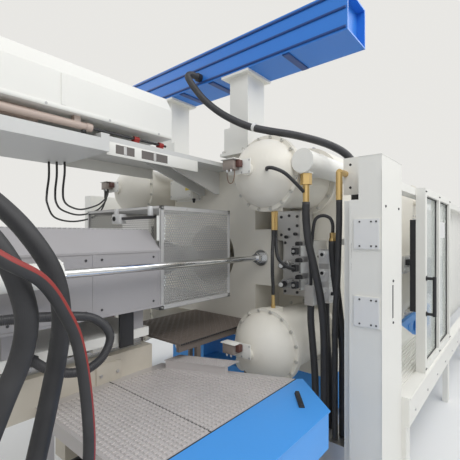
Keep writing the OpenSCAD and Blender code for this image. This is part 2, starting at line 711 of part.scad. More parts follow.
// White chute and ribbed sill that lead the parts out of the guard
module part_chute() color(cream) {
  translate([30, 0, 0]) rotate([90, 0, 90]) linear_extrude(600)
    polygon([[-1500, -938], [-1500, -926], [-1465, -926], [-1060, -640], [-1060, -652], [-1450, -938]]);
  block([column_x + 20, 70 - door_y, -950], [640, -1440, -938]);
  for (i = [0 : 8]) block([column_x + 20, -1730 + 25 * i, -938], [640, -1718 + 25 * i, -930]);
}

// Cast moving platen with ejector holes
module moving_platen() color(cream) difference() {
  union() {
    plate_x(moving_x, moving_t) platen_outline(bed_top + way_t + 55);
    for (side = [-1, 1])
      block([moving_x, side * 430 - 60, -1045], [moving_x + 200, side * 430 + 60, -mid_h]);
  }
  at_tie_bars() bar_x(moving_x - 1, moving_back + 1, tie_d / 2 + run_gap);
  bar_x(moving_x - 1, moving_x + locating_depth, locating_d / 2);
  clamping_holes(moving_x - 1);
  for (y = [-1, 1], z = [-1, 1])
    bar_x(moving_x - 1, moving_back + 1, pin_r + run_gap, y * pin_spread, z * pin_spread);
  bar_x(moving_x - 1, moving_back + 1, centre_pin_r + run_gap);
}

// Bronze-faced shoes under the moving platen
module platen_shoes() color([0.7, 0.55, 0.3]) both_sides()
  block([moving_x + 50, ty - 60 - shoe_w / 2, bed_top + way_t + run_gap],
    [moving_x + 50 + shoe_l, ty - 60 + shoe_w / 2, bed_top + way_t + 55]);

// Housings that guide the locking jaws behind the moving platen, with their cylinders
module lock_housings() color(cream) at_tie_bars() both_sides() {
  for (z = [-240, 195 + run_gap])
    block([moving_back, -330, z], [moving_back + jaw_t + 30, 0, z + 45 - run_gap]);
  difference() {
    union() {
      block([moving_back, -330, -240], [moving_back + jaw_t + 30, -310, 240]);
      bar_y(-480, -330, lock_rod_r + 18, lock_x);
    }
    bar_y(-465, -309, lock_rod_r + run_gap, lock_x);
  }
}

// Rods of the traverse cylinders
module traverse_rods() color(steel) both_sides()
  bar_x(-700, moving_x, 35, 430, -985);

// Half nut whose teeth enter the grooves, with its cylinder rod
module lock_jaw() {
  r = tie_d / 2;
  x0 = moving_back + run_gap;
  first = floor(moving_back / groove_pitch) * groove_pitch;
  difference() {
    union() {
      block([x0, -190, -195], [x0 + jaw_t, -2, 195]);
      bar_y(-400, -190, lock_rod_r, lock_x);
    }
    turned_x() polygon(concat([[0, x0 - 1], [r + 1, x0 - 1]],
      [for (i = [0 : jaw_t / groove_pitch])
        let (x = first + i * groove_pitch)
        each [[r + 1, x + 1], [r - groove_depth + 1, x + 1],
          [r - groove_depth + 1, x + groove_pitch / 2 - 1], [r + 1, x + groove_pitch / 2 - 1]]],
      [[r + 1, x0 + jaw_t + groove_pitch + 1], [0, x0 + jaw_t + groove_pitch + 1]]));
  }
}

// Near halves of the four locking nuts, drawn open
module lock_jaws_near() color(steel) at_tie_bars() translate([0, -jaw_travel, 0]) lock_jaw();

// Far halves of the four locking nuts, drawn open
module lock_jaws_far() color(steel) at_tie_bars()
  translate([0, jaw_travel, 0]) mirror([0, 1, 0]) lock_jaw();

// Ejector plate with its pins in the moving platen
module ejector_plate() color(steel) {
  block([moving_back + 250, -280, -280], [moving_back + 310, 280, 280]);
  for (y = [-1, 1], z = [-1, 1])
    bar_x(moving_x + 10, moving_back + 250, pin_r, y * pin_spread, z * pin_spread);
  bar_x(moving_x + locating_depth + 10, moving_back + 250, centre_pin_r);
}

// Door frame with a stile at each end and one in the middle
module door_frame() {
  low = -rail_low + run_gap;
  difference() {
    block([door_x, -door_y, low], [door_x + door_l, door_t - door_y, door_top]);
    for (i = [0, 1]) {
      pane = (door_l - 3 * stile_w) / 2;
      x = door_x + stile_w + i * (pane + stile_w);
      block([x, -door_y - 1, low + stile_w], [x + pane, door_t - door_y + 1, door_top - stile_w]);
    }
  }
}

// Clear panes of a door
module door_panes() {
  low = -rail_low + run_gap;
  for (i = [0, 1]) {
    pane = (door_l - 3 * stile_w) / 2;
    x = door_x + stile_w + i * (pane + stile_w);
    block([x, -door_y + 30, low + stile_w], [x + pane, -door_y + 36, door_top - stile_w]);
  }
}

// Bar handle on two stand-offs, and the lock's cover inside the leading stile
module door_handle() {
  x = door_x + stile_w / 2;
  for (z = [-445, -155]) bar_y(-door_y - 60, -door_y, 12, x, z);
  bar_z(-460, -140, 14, x, -door_y - 60);
  block([door_x, door_t - door_y, -435], [door_x + stile_w, door_t + 45 - door_y, 325]);
}

module front_door_frame() color(cream) door_frame();
module front_door_panes() color([0.8, 0.85, 0.85, 0.35]) door_panes();
module front_door_handle() color(dark) door_handle();
module rear_door_frame() color(cream) mirror([0, 1, 0]) door_frame();
module rear_door_panes() color([0.8, 0.85, 0.85, 0.35]) mirror([0, 1, 0]) door_panes();
module rear_door_handle() color(dark) mirror([0, 1, 0]) door_handle();

// Carriage of the injection unit with the barrel's housing
module carriage_frame() color(cream) {
  block([carriage_back, -420, carriage_low], [guard_back - 40, 420, carriage_low + carriage_t]);
  for (x = [carriage_back + 100, -3500, -2600], side = [-1, 1])
    block([x, side * rail_y - 70, rail_top + run_gap], [x + 260, side * rail_y + 70, carriage_low]);
  difference() {
    union() {
      block([housing_x, -unit_w, carriage_low + carriage_t], [housing_x + housing_l, unit_w, 330]);
      block([housing_x + 100, -pull_y - 30, rod_z - 90], [housing_x + 260, pull_y + 30, rod_z + 90]);
    }
    bar_x(housing_x - 1, housing_x + housing_l + 1, barrel_r);
    for (y = [-pull_y, pull_y]) bar_x(housing_x - 1, housing_x + housing_l + 1, 65, y, rod_z);
    for (y = [-280, 280]) bar_x(housing_x - 1, housing_x + 60, 50, y);
  }
}

// Plasticising barrel with its nozzle
module barrel() color(steel) difference() {
  turned_x() polygon([[0, -3900], [barrel_r, -3900], [barrel_r, -1700], [100, -1600], [100, -1450],
    [45, -1380], [45, -180], [30, -120], [0, -120]]);
  bar_x(-3901, -1640, screw_d / 2);
  bar_x(-1641, -119, 10);
}

// Heater bands clamped round the barrel
module heater_bands() color([0.6, 0.58, 0.52])
  for (i = [0 : 5]) difference() {
    union() {
      bar_x(-3150 + 240 * i, -2950 + 240 * i, barrel_r + 22);
      block([-3110 + 240 * i, -25, -barrel_r - 60], [-2990 + 240 * i, 25, -barrel_r - 15]);
    }
    bar_x(-3151 + 240 * i, -2949 + 240 * i, barrel_r);
  }

// Grey sheet covers over the barrel, with their brackets
module carriage_covers() color([0.5, 0.48, 0.49]) {
  w = cover_w / 2;
  top = cover_top + hood_h;
  plate_x(cover_back, cover_l) difference() {
    polygon([[-w, -cover_low], [w, -cover_low], [w, cover_top], [w - hood_h, top],
      [hood_h - w, top], [-w, cover_top]]);
    polygon([[sheet_t - w, sheet_t - cover_low], [w - sheet_t, sheet_t - cover_low],
      [w - sheet_t, cover_top - 2], [w - hood_h - 2, top - sheet_t],
      [hood_h + 2 - w, top - sheet_t], [sheet_t - w, cover_top - 2]]);
  }
  for (x = [cover_back + 60, guard_back - 160], side = [-1, 1])
    block([x, side * 380 - 30, carriage_low + carriage_t], [x + 80, side * 380 + 30, -cover_low]);
}

// Perforated guard round the nozzle
module nozzle_guard() color([0.6, 0.6, 0.6]) difference() {
  w = cover_w / 2;
  block([guard_back, -w, -guard_low], [guard_front, w, guard_top]);
  block([guard_back + sheet_t, sheet_t - w, sheet_t - guard_low],
    [guard_front + 1, w - sheet_t, guard_top - sheet_t]);
  block([guard_back - 1, 15 - w, sheet_t - cover_low],
    [guard_back + sheet_t + 1, w - 15, guard_top - 20]);
}

// Carriage and injection cylinders
module unit_cylinders() color(cream) both_sides() {
  difference() {
    union() {
      bar_x(-4150, -2950, 65, pull_y, rod_z);
      bar_x(-3010, -2950, 80, pull_y, rod_z);
    }
    bar_x(-4100, -2949, pull_rod_d / 2 + 0.05, pull_y, rod_z);
  }
  difference() {
    bar_x(-4400, housing_x, 85, 280);
    bar_x(-4401, housing_x + 1, 35.05, 280);
  }
}

// Material hopper on the feed throat
module hopper() color([0.75, 0.76, 0.78]) {
  translate([housing_x + housing_l / 2, 0, 330]) rotate_extrude()
    polygon([[0, 0], [95, 0], [95, 20], [60, 20], [60, 60], [190, 220], [190, 360], [175, 375], [0, 375]]);
}

// Sliding drive block with its motor and rods
module drive_block() color(cream) {
  difference() {
    union() {
      block([drive_front - drive_l, -unit_w, carriage_low + carriage_t + run_gap],
        [drive_front, unit_w, 300]);
      bar_x(drive_front - drive_l - 350, drive_front - drive_l, 170);
    }
    bar_x(drive_front - drive_l / 2, drive_front + 1, 55 + 0.05);
  }
  color(steel) for (y = [-280, 280]) bar_x(drive_front, -3800, 35, y);
}

// Plasticising screw with its helical flight
module screw() color(steel) {
  pitch = screw_d;
  flight = 1800;
  bar_x(drive_front - drive_l / 2 + 1, housing_x, 55);
  bar_x(-3700, -1760, 40);
  translate([-3690, 0, 0]) rotate([0, 90, 0])
    linear_extrude(flight, twist = -360 * flight / pitch, slices = 12 * flight / pitch, $fn = 6)
      polygon(concat([[0, 0]], [for (a = [-18 : 12 : 18]) (screw_d / 2 - 0.6) * [cos(a), sin(a)]]));
  translate([-1760, 0, 0]) rotate([0, 90, 0]) cylinder(h = 70, r1 = 40, r2 = 12);
}

// Cream housing of the upper unit, with its folded top edges
module upper_housing() color(cream) difference() {
  h = upper_low + upper_h;
  w = upper_w / 2;
  translate([upper_back, 0, 0]) rotate([90, 0, 90]) linear_extrude(upper_l)
    polygon([[-w, upper_low], [w, upper_low], [w, h - 110], [w - 70, h], [70 - w, h],
      [-w, h - 110]]);
  translate([upper_back + sheet_t, 0, 0]) rotate([90, 0, 90]) linear_extrude(upper_l - 2 * sheet_t)
    polygon([[sheet_t - w, upper_low + sheet_t], [w - sheet_t, upper_low + sheet_t],
      [w - sheet_t, h - 112], [w - 72, h - sheet_t], [72 - w, h - sheet_t], [sheet_t - w, h - 112]]);
}

// Carriage cylinder of the upper unit, its bracket and the unit's shoes
module upper_cylinder() color([0.8, 0.72, 0.66]) {
  difference() {
    union() {
      bar_x(-3600, -2600, upper_tube_d / 2, upper_rod_y, upper_rod_z);
      bar_x(-2640, -2600, upper_tube_d / 2 + 4, upper_rod_y, upper_rod_z);
      block([-3560, upper_rod_y - 20, upper_rod_z], [-3500, upper_rod_y + 20, upper_low]);
      block([-2720, upper_rod_y - 20, upper_rod_z], [-2680, upper_rod_y + 20, upper_low]);
    }
    bar_x(-3550, -2599, upper_rod_d / 2 + 0.05, upper_rod_y, upper_rod_z);
  }
  for (x = [upper_back + 250, -3200], side = [-1, 1])
    block([x, side * upper_rail_y - 45, stand_top + 40 + run_gap],
      [x + 300, side * upper_rail_y + 45, upper_low]);
}

// Corrugated conduit from the robot beam over the near cover and down behind the column
module beam_conduit() color(dark) hose(route_conduit, conduit_d, 3, 10);
module supply_hose_a() color(dark) hose(route_supply_a, supply_d, 3, 10);
module supply_hose_b() color(dark) hose(route_supply_b, supply_d, 3, 10);
module supply_hose_c() color(dark) hose(route_supply_c, thin_supply_d, 4);
module carriage_conduit() color([0.25, 0.25, 0.26]) hose(route_carriage, carriage_conduit_d, 3);

// Hoses between the fittings of the near cylinders and the foot block
module manifold_hoses() color(dark) {
  hose(route_pressure, pressure_d, 3);
  hose(route_elbow, elbow_d, 3);
  hose(route_loop, loop_d, 3);
  hose(route_drop, pressure_d, 3);
  hose(route_return_a, return_d, 3);
  hose(route_return_b, return_d, 3);
  hose(route_twin_a, twin_d, 3);
  hose(route_twin_b, twin_d, 3);
}

// Cables from the upper beam to the far cover's sensor, and the near sensor's wire loop
module sensor_cables() color(dark) {
  for (route = [route_cable_a, route_cable_b, route_cable_c]) hose(route, cable_d, 3);
  hose(wire_loop(sensor_x - 43, 80 - ty, tz), wire_d, 2);
}

// Loop of wire that hangs from a sensor box's underside
function wire_loop(x, y, z) = [[x, y, z], [x, y, z - 40], [x, y + 12, z - 85],
  [x, y + 35, z - 100], [x, y + 58, z - 85], [x, y + 70, z - 40], [x, y + 70, z]];

clamp_bed();
levelling_feet();
bed_ways();
fixed_platen();
clamp_cylinders();
cylinder_covers();
cover_bolts();
tie_bars();
traverse_barrels();
injection_base();
injection_ways();
carriage_rods();
upper_stand();
upper_rod();
side_deck();
beam_posts();
robot_beam();
tread_deck();
mesh_deck();
junction_box();
pilot_valves();
valve_blocks();
valve_connectors();
hose_fittings();
sensor_boxes();
guard_frame();
guard_panels();
fixing_plates();
part_chute();
moving_platen();
platen_shoes();
lock_housings();
traverse_rods();
lock_jaws_near();
lock_jaws_far();
ejector_plate();
front_door_frame();
front_door_panes();
front_door_handle();
rear_door_frame();
rear_door_panes();
rear_door_handle();
carriage_frame();
barrel();
heater_bands();
carriage_covers();
nozzle_guard();
unit_cylinders();
hopper();
drive_block();
screw();
upper_housing();
upper_cylinder();
beam_conduit();
supply_hose_a();
supply_hose_b();
supply_hose_c();
carriage_conduit();
manifold_hoses();
sensor_cables();
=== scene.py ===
import bmesh
import bpy
import math
import random
from mathutils import Matrix, Vector


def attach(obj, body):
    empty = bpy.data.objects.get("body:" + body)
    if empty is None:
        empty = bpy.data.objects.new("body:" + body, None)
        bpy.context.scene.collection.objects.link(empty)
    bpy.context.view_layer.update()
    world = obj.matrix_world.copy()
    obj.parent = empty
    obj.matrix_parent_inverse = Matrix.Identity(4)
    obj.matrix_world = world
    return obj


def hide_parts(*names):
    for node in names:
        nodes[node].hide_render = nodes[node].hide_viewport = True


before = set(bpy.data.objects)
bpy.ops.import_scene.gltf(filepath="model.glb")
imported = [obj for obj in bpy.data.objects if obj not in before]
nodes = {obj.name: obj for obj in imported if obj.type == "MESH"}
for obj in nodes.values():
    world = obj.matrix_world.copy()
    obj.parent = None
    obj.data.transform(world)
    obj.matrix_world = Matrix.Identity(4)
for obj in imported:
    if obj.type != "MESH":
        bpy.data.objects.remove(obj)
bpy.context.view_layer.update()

bpy.ops.object.select_all(action="DESELECT")
scene = bpy.context.scene
random.seed(7)

# The workshop floor, its light and the camera
# The machine stands on a plain pale floor under wide ceiling lamps, and it is seen from the
# operator's deck beside the injection unit, at eye height, along the machine to the clamp
floor_z = -1.585
eye = Vector((-3.75, -2.43, 0.195))
heading = math.radians(-50)
image_px = 460
focal_px = 350
horizon_px = 235.5
camera = bpy.data.cameras.new("camera")
camera.sensor_width = 36
camera.lens = camera.sensor_width * focal_px / image_px
camera.shift_y = (horizon_px - image_px / 2) / image_px
camera.clip_start = 0.02
camera.clip_end = 200
viewer = bpy.data.objects.new("viewer", camera)
viewer.location = eye
viewer.rotation_euler = (math.radians(90), 0, heading)
scene.collection.objects.link(viewer)
scene.camera = viewer
scene.view_settings.view_transform = "Standard"


def shader(name):
    """A new material, its node tree, its shader and the object coordinates."""
    made = bpy.data.materials.new(name)
    made.use_nodes = True
    tree = made.node_tree
    principled = tree.nodes["Principled BSDF"]
    place = tree.nodes.new("ShaderNodeTexCoord")
    return made, tree, principled, place


bpy.ops.mesh.primitive_plane_add(size=60, location=(-1, 0, floor_z - 0.002))
floor = bpy.context.object
floor.name = "floor"
floor_coat, tree, principled, place = shader("pale_floor")
principled.inputs["Base Color"].default_value = (0.86, 0.86, 0.85, 1)
principled.inputs["Roughness"].default_value = 0.75
floor.data.materials.append(floor_coat)

world = bpy.data.worlds.new("hall_light")
scene.world = world
world.use_nodes = True
tree = world.node_tree
path = tree.nodes.new("ShaderNodeLightPath")
sky = tree.nodes["Background"]
sky.inputs["Color"].default_value = (0.93, 0.96, 1.0, 1)
sky.inputs["Strength"].default_value = 0.56
wall = tree.nodes.new("ShaderNodeBackground")
wall.inputs["Color"].default_value = (0.90, 0.89, 0.86, 1)
wall.inputs["Strength"].default_value = 0.9
seen = tree.nodes.new("ShaderNodeMath")
seen.operation = "MAXIMUM"
also = tree.nodes.new("ShaderNodeMath")
also.operation = "MAXIMUM"
blend = tree.nodes.new("ShaderNodeMixShader")
tree.links.new(path.outputs["Is Camera Ray"], seen.inputs[0])
tree.links.new(path.outputs["Is Glossy Ray"], seen.inputs[1])
tree.links.new(seen.outputs[0], also.inputs[0])
tree.links.new(path.outputs["Is Transmission Ray"], also.inputs[1])
tree.links.new(also.outputs[0], blend.inputs[0])
tree.links.new(sky.outputs[0], blend.inputs[1])
tree.links.new(wall.outputs[0], blend.inputs[2])
tree.links.new(blend.outputs[0], tree.nodes["World Output"].inputs["Surface"])


def ceiling_lamp(name, place, size, power, target):
    """A wide soft lamp that points at a target."""
    lamp = bpy.data.lights.new(name, "AREA")
    lamp.shape = "RECTANGLE"
    lamp.size, lamp.size_y = size
    lamp.energy = power
    holder = bpy.data.objects.new(name, lamp)
    holder.location = place
    holder.rotation_euler = (Vector(target) - Vector(place)).to_track_quat("-Z", "Y").to_euler()
    scene.collection.objects.link(holder)


ceiling_lamp("lamp_over_deck", (-3.5, -4.5, 4.2), (5, 3), 140, (-1.5, -0.5, 0))
ceiling_lamp("lamp_over_clamp", (1.5, -3.5, 4.5), (5, 3), 130, (0, 0, 0))
ceiling_lamp("lamp_far_side", (-1.5, 5, 4.5), (7, 3), 130, (-1, 0, 0))


# Hoses, conduits and cables
# Cloth-wrapped rubber pressure hoses, ribbed plastic conduits and thin sensor cables, cut to
# length and pushed into fittings, ports and glands at both ends
def smooth_line(route):
    """Evenly spaced points of a smooth line through a route in metres."""
    points = [Vector(p) for p in route]
    fine = []
    for i in range(len(points) - 1):
        a, b = points[max(i - 1, 0)], points[i]
        c, d = points[i + 1], points[min(i + 2, len(points) - 1)]
        for k in range(24):
            t = k / 24
            fine.append(0.5 * (2 * b + (c - a) * t + (2 * a - 5 * b + 4 * c - d) * t * t
                               + (3 * b - a - 3 * c + d) * t ** 3))
    fine.append(points[-1])
    return fine


def spaced(line, step):
    """The line's points at even steps, and the whole length."""
    travelled = [0.0]
    for p, q in zip(line, line[1:]):
        travelled.append(travelled[-1] + (q - p).length)
    total = travelled[-1]
    count = max(8, round(total / step))
    out = []
    i = 0
    for k in range(count + 1):
        want = total * k / count
        while i < len(line) - 2 and travelled[i + 1] < want:
            i += 1
        share = (want - travelled[i]) / max(travelled[i + 1] - travelled[i], 1e-9)
        out.append(line[i].lerp(line[i + 1], min(max(share, 0), 1)))
    return out, total


def hose(name, route, width, coat, body, nodes_replaced, rib=0.0, depth=0.0, sides=18, **facts):
    """A hose laid along its route, with its unrolled skin as a UV map."""
    step = rib / 4 if rib else max(0.01, width * 0.4)
    line, total = spaced(smooth_line(route), step)
    rings, skin, flat = [], [], []
    tangent = (line[1] - line[0]).normalized()
    side = tangent.orthogonal().normalized()
    travelled = 0.0
    for i, point in enumerate(line):
        ahead = line[min(i + 1, len(line) - 1)] - line[max(i - 1, 0)]
        tangent = ahead.normalized()
        side = (side - side.dot(tangent) * tangent).normalized()
        other = tangent.cross(side)
        if i:
            travelled += (point - line[i - 1]).length
        radius = width / 2
        if rib:
            radius -= depth * (0.5 - 0.5 * math.cos(2 * math.pi * i / 4))
        for k in range(sides):
            turn = 2 * math.pi * k / sides
            rings.append(point + radius * (math.cos(turn) * side + math.sin(turn) * other))
        if i:
            for k in range(sides):
                a, b = (i - 1) * sides + k, (i - 1) * sides + (k + 1) % sides
                skin.append((a, b, b + sides, a + sides))
                v0, v1 = travelled - (point - line[i - 1]).length, travelled
                flat.append(((k / sides, v0), ((k + 1) / sides, v0),
                             ((k + 1) / sides, v1), (k / sides, v1)))
    last = (len(line) - 1) * sides
    skin.append(tuple(reversed(range(sides))))
    skin.append(tuple(range(last, last + sides)))
    flat += [((0.5, 0.0),) * sides, ((0.5, travelled),) * sides]
    mesh = bpy.data.meshes.new(name)
    mesh.from_pydata(rings, [], skin)
    unrolled = mesh.uv_layers.new(name="unrolled")
    for polygon, corners in zip(mesh.polygons, flat):
        polygon.use_smooth = len(corners) == 4
        for loop, uv in zip(polygon.loop_indices, corners):
            unrolled.data[loop].uv = uv
    piece = bpy.data.objects.new(name, mesh)
    scene.collection.objects.link(piece)
    mesh.materials.append(coat)
    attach(piece, body)
    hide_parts(*nodes_replaced)
    return piece


def hose_coat(name, colour, weave=900.0, stripe=None, roughness=0.55):
    """Black rubber with a fine cloth weave, and a painted line along it if asked."""
    made, tree, principled, place = shader(name)
    principled.inputs["Roughness"].default_value = roughness
    link = tree.links.new
    wave = tree.nodes.new("ShaderNodeTexWave")
    wave.wave_type = "BANDS"
    wave.inputs["Scale"].default_value = weave / 12
    wave.inputs["Distortion"].default_value = 1.5
    link(place.outputs["Object"], wave.inputs["Vector"])
    dust = tree.nodes.new("ShaderNodeTexNoise")
    dust.inputs["Scale"].default_value = 14
    dust.inputs["Detail"].default_value = 6
    link(place.outputs["Object"], dust.inputs["Vector"])
    tint = tree.nodes.new("ShaderNodeMix")
    tint.data_type = "RGBA"
    tint.inputs["A"].default_value = (*colour, 1)
    tint.inputs["B"].default_value = (*[min(1, c * 1.5 + 0.02) for c in colour], 1)
    link(dust.outputs["Fac"], tint.inputs["Factor"])
    shown = tint.outputs["Result"]
    if stripe:
        unrolled = tree.nodes.new("ShaderNodeUVMap")
        unrolled.uv_map = "unrolled"
        split = tree.nodes.new("ShaderNodeSeparateXYZ")
        link(unrolled.outputs["UV"], split.inputs[0])
        centred = tree.nodes.new("ShaderNodeMath")
        centred.operation = "COMPARE"
        centred.inputs[1].default_value = 0.5
        centred.inputs[2].default_value = 0.2
        link(split.outputs["X"], centred.inputs[0])
        line = tree.nodes.new("ShaderNodeMix")
        line.data_type = "RGBA"
        line.inputs["B"].default_value = (*stripe, 1)
        link(centred.outputs[0], line.inputs["Factor"])
        link(shown, line.inputs["A"])
        shown = line.outputs["Result"]
    link(shown, principled.inputs["Base Color"])
    bump = tree.nodes.new("ShaderNodeBump")
    bump.inputs["Strength"].default_value = 0.25
    bump.inputs["Distance"].default_value = 0.0006
    link(wave.outputs["Fac"], bump.inputs["Height"])
    link(bump.outputs["Normal"], principled.inputs["Normal"])
    return made


wrapped_rubber = hose_coat("wrapped_rubber", (0.018, 0.018, 0.02))
striped_rubber = hose_coat("striped_rubber", (0.02, 0.02, 0.022), stripe=(0.30, 0.035, 0.03))
ribbed_plastic = hose_coat("ribbed_plastic", (0.03, 0.03, 0.033), roughness=0.4)
cable_sheath = hose_coat("cable_sheath", (0.02, 0.02, 0.02), roughness=0.45)
brown_wire = hose_coat("brown_wire", (0.16, 0.08, 0.045), roughness=0.5)

port_y, port_z, foot_z = -0.42, 0.785, -1.25
supply_routes = {
    "supply_hose_a": [(-3.7, port_y, port_z), (-3.7, -0.5, port_z), (-3.692, -0.6, 0.765),
                      (-3.64, -0.78, 0.66), (-3.5, -1.0, 0.45), (-3.35, -1.11, 0.29),
                      (-3.28, -1.18, 0.18), (-3.22, -1.2, 0.06), (-3.195, -1.2, -0.07),
                      (-3.205, -1.2, -0.2), (-3.24, -1.2, -0.38), (-3.29, -1.2, -0.6),
                      (-3.34, -1.2, -0.85), (-3.37, -1.2, -1.05), (-3.37, -1.2, foot_z)],
    "supply_hose_b": [(-3.82, port_y, port_z), (-3.82, -0.5, port_z), (-3.812, -0.61, 0.765),
                      (-3.78, -0.76, 0.67), (-3.68, -0.98, 0.48), (-3.54, -1.19, 0.31),
                      (-3.455, -1.262, 0.225), (-3.397, -1.3, 0.13), (-3.364, -1.312, 0.04),
                      (-3.345, -1.31, -0.06), (-3.36, -1.3, -0.17), (-3.41, -1.3, -0.29),
                      (-3.47, -1.3, -0.45), (-3.53, -1.3, -0.68), (-3.56, -1.3, -0.95),
                      (-3.56, -1.3, foot_z)],
    "supply_hose_c": [(-3.92, port_y, port_z), (-3.92, -0.5, port_z), (-3.914, -0.65, 0.755),
                      (-3.88, -0.85, 0.62), (-3.72, -1.14, 0.39), (-3.54, -1.33, 0.22),
                      (-3.43, -1.39, 0.13), (-3.33, -1.375, 0.065), (-3.255, -1.35, -0.04),
                      (-3.2, -1.33, -0.16), (-3.17, -1.33, -0.36), (-3.165, -1.33, -0.56),
                      (-3.19, -1.3, -0.8), (-3.23, -1.24, -1.05), (-3.23, -1.24, foot_z)],
}
supply_width = 0.064
thin_width = 0.04
for name, width, coat in (("supply_hose_a", supply_width, wrapped_rubber),
                          ("supply_hose_b", supply_width, wrapped_rubber),
                          ("supply_hose_c", thin_width, striped_rubber)):
    hose(name + "_rubber", supply_routes[name], width, coat, "frame", [name],
         stiffness="stiff", lay="hanging")

conduit_route = [(-1.42, -0.07, 1.69), (-1.45, -0.07, 1.69), (-1.497, -0.074, 1.683),
                 (-1.541, -0.086, 1.66), (-1.575, -0.112, 1.622), (-1.592, -0.15, 1.575),
                 (-1.595, -0.215, 1.49), (-1.57, -0.32, 1.36), (-1.52, -0.48, 1.22),
                 (-1.46, -0.68, 1.1), (-1.412, -0.86, 1.034), (-1.365, -1.1, 0.96),
                 (-1.29, -1.32, 0.87), (-1.235, -1.45, 0.77), (-1.21, -1.49, 0.64),
                 (-1.21, -1.49, 0.48), (-1.215, -1.485, 0.1), (-1.22, -1.48, -0.4),
                 (-1.22, -1.48, -0.9), (-1.22, -1.48, foot_z)]
hose("beam_conduit_ribbed", conduit_route, 0.06, ribbed_plastic, "frame", ["beam_conduit"],
     rib=0.009, depth=0.004, sides=16, stiffness="stiff", lay="hanging")
carriage_route = [(-3.4, -0.38, -0.2), (-3.4, -0.48, -0.2), (-3.33, -0.58, -0.195),
                  (-3.2, -0.62, -0.19), (-2.96, -0.62, -0.215), (-2.76, -0.62, -0.26),
                  (-2.66, -0.62, -0.37), (-2.7, -0.62, -0.48), (-2.79, -0.618, -0.53),
                  (-2.88, -0.615, -0.525), (-2.94, -0.599, -0.505), (-2.984, -0.555, -0.485),
                  (-3.0, -0.495, -0.472), (-3.0, -0.46, -0.47), (-3.0, -0.42, -0.47)]
hose("carriage_conduit_ribbed", carriage_route, 0.05, ribbed_plastic, "carriage",
     ["carriage_conduit"], rib=0.008, depth=0.0035, sides=16, stiffness="medium", lay="hanging")

near_y, pilot_y = -0.86, -1.21
manifold_routes = {
    "pressure_hose": (0.056, [(-1.43, pilot_y, 0.44), (-1.43, pilot_y, 0.32), (-1.422, -1.225, 0.15),
                              (-1.405, -1.265, -0.05), (-1.385, -1.3, -0.25), (-1.368, -1.32, -0.5),
                              (-1.36, -1.32, -0.8), (-1.36, -1.32, foot_z)]),
    "elbow_hose": (0.042, [(-1.44, -1.465, 0.437), (-1.44, -1.465, 0.3), (-1.43, -1.455, 0.1),
                           (-1.41, -1.44, -0.1), (-1.38, -1.41, -0.4), (-1.36, -1.4, -0.7),
                           (-1.36, -1.4, foot_z)]),
    "loop_hose": (0.024, [(-1.33, -1.37, 0.215), (-1.33, -1.37, 0.275), (-1.336, -1.351, 0.322),
                          (-1.348, -1.304, 0.341), (-1.36, -1.257, 0.322), (-1.366, -1.238, 0.265),
                          (-1.364, -1.222, 0.13), (-1.346, -1.2, 0.0), (-1.325, -1.195, -0.1),
                          (-1.325, -1.195, -0.18)]),
    "drop_hose": (0.056, [(-1.33, -1.37, 0.155), (-1.33, -1.37, 0.08), (-1.325, -1.385, -0.1),
                          (-1.31, -1.41, -0.35), (-1.295, -1.43, -0.6), (-1.29, -1.43, -0.85),
                          (-1.29, -1.43, foot_z)]),
    "return_hose_a": (0.052, [(-1.325, -1.195, -0.33), (-1.325, -1.195, -0.45),
                              (-1.33, -1.215, -0.65), (-1.335, -1.235, -0.9),
                              (-1.335, -1.235, foot_z)]),
    "return_hose_b": (0.052, [(-1.2, -1.26, -0.32), (-1.2, -1.26, -0.43), (-1.215, -1.275, -0.62),
                              (-1.235, -1.3, -0.8), (-1.24, -1.31, -0.95),
                              (-1.24, -1.31, foot_z)]),
    "twin_hose_a": (0.028, [(-1.33, near_y, 0.24), (-1.33, near_y, 0.17), (-1.348, -0.866, 0.09),
                            (-1.372, -0.88, 0.01), (-1.372, -0.88, -0.06), (-1.348, -0.866, -0.14),
                            (-1.33, near_y, -0.22), (-1.33, near_y, -0.29)]),
    "twin_hose_b": (0.028, [(-1.29, near_y, 0.24), (-1.29, near_y, 0.17), (-1.312, -0.88, 0.09),
                            (-1.33, -0.9, 0.03), (-1.322, -0.92, -0.01), (-1.299, -0.948, -0.044),
                            (-1.265, -0.97, -0.067), (-1.228, -0.98, -0.075),
                            (-1.21, -0.98, -0.075)]),
    "dome_hose": (0.026, [(-1.63, -1.0, 0.676), (-1.665, -1.03, 0.678), (-1.66, -1.08, 0.67),
                          (-1.6, -1.13, 0.64), (-1.53, -1.17, 0.58), (-1.47, -1.195, 0.53),
                          (-1.452, -1.2, 0.515)]),
}
for name, (width, route) in manifold_routes.items():
    hose(name, route, width, wrapped_rubber, "frame", ["manifold_hoses"],
         stiffness="medium", lay="hanging")

cable_routes = [
    [(-2.54, 0.2, 0.745), (-2.54, 0.2, 0.66), (-2.525, 0.26, 0.54), (-2.46, 0.38, 0.47),
     (-2.33, 0.54, 0.44), (-2.13, 0.74, 0.44), (-1.9, 0.89, 0.5), (-1.805, 0.93, 0.555),
     (-1.755, 0.943, 0.605), (-1.74, 0.945, 0.645), (-1.74, 0.945, 0.685)],
    [(-2.58, 0.24, 0.745), (-2.58, 0.24, 0.64), (-2.565, 0.3, 0.53), (-2.5, 0.43, 0.455),
     (-2.37, 0.6, 0.41), (-2.13, 0.79, 0.39), (-1.88, 0.93, 0.45), (-1.755, 0.97, 0.56),
     (-1.74, 0.975, 0.63), (-1.74, 0.975, 0.685)],
    [(-2.62, 0.28, 0.745), (-2.62, 0.28, 0.63), (-2.605, 0.35, 0.52), (-2.54, 0.5, 0.45),
     (-2.4, 0.68, 0.35), (-2.14, 0.85, 0.33), (-1.86, 0.97, 0.4), (-1.75, 1.002, 0.53),
     (-1.74, 1.005, 0.62), (-1.74, 1.005, 0.685)],
]
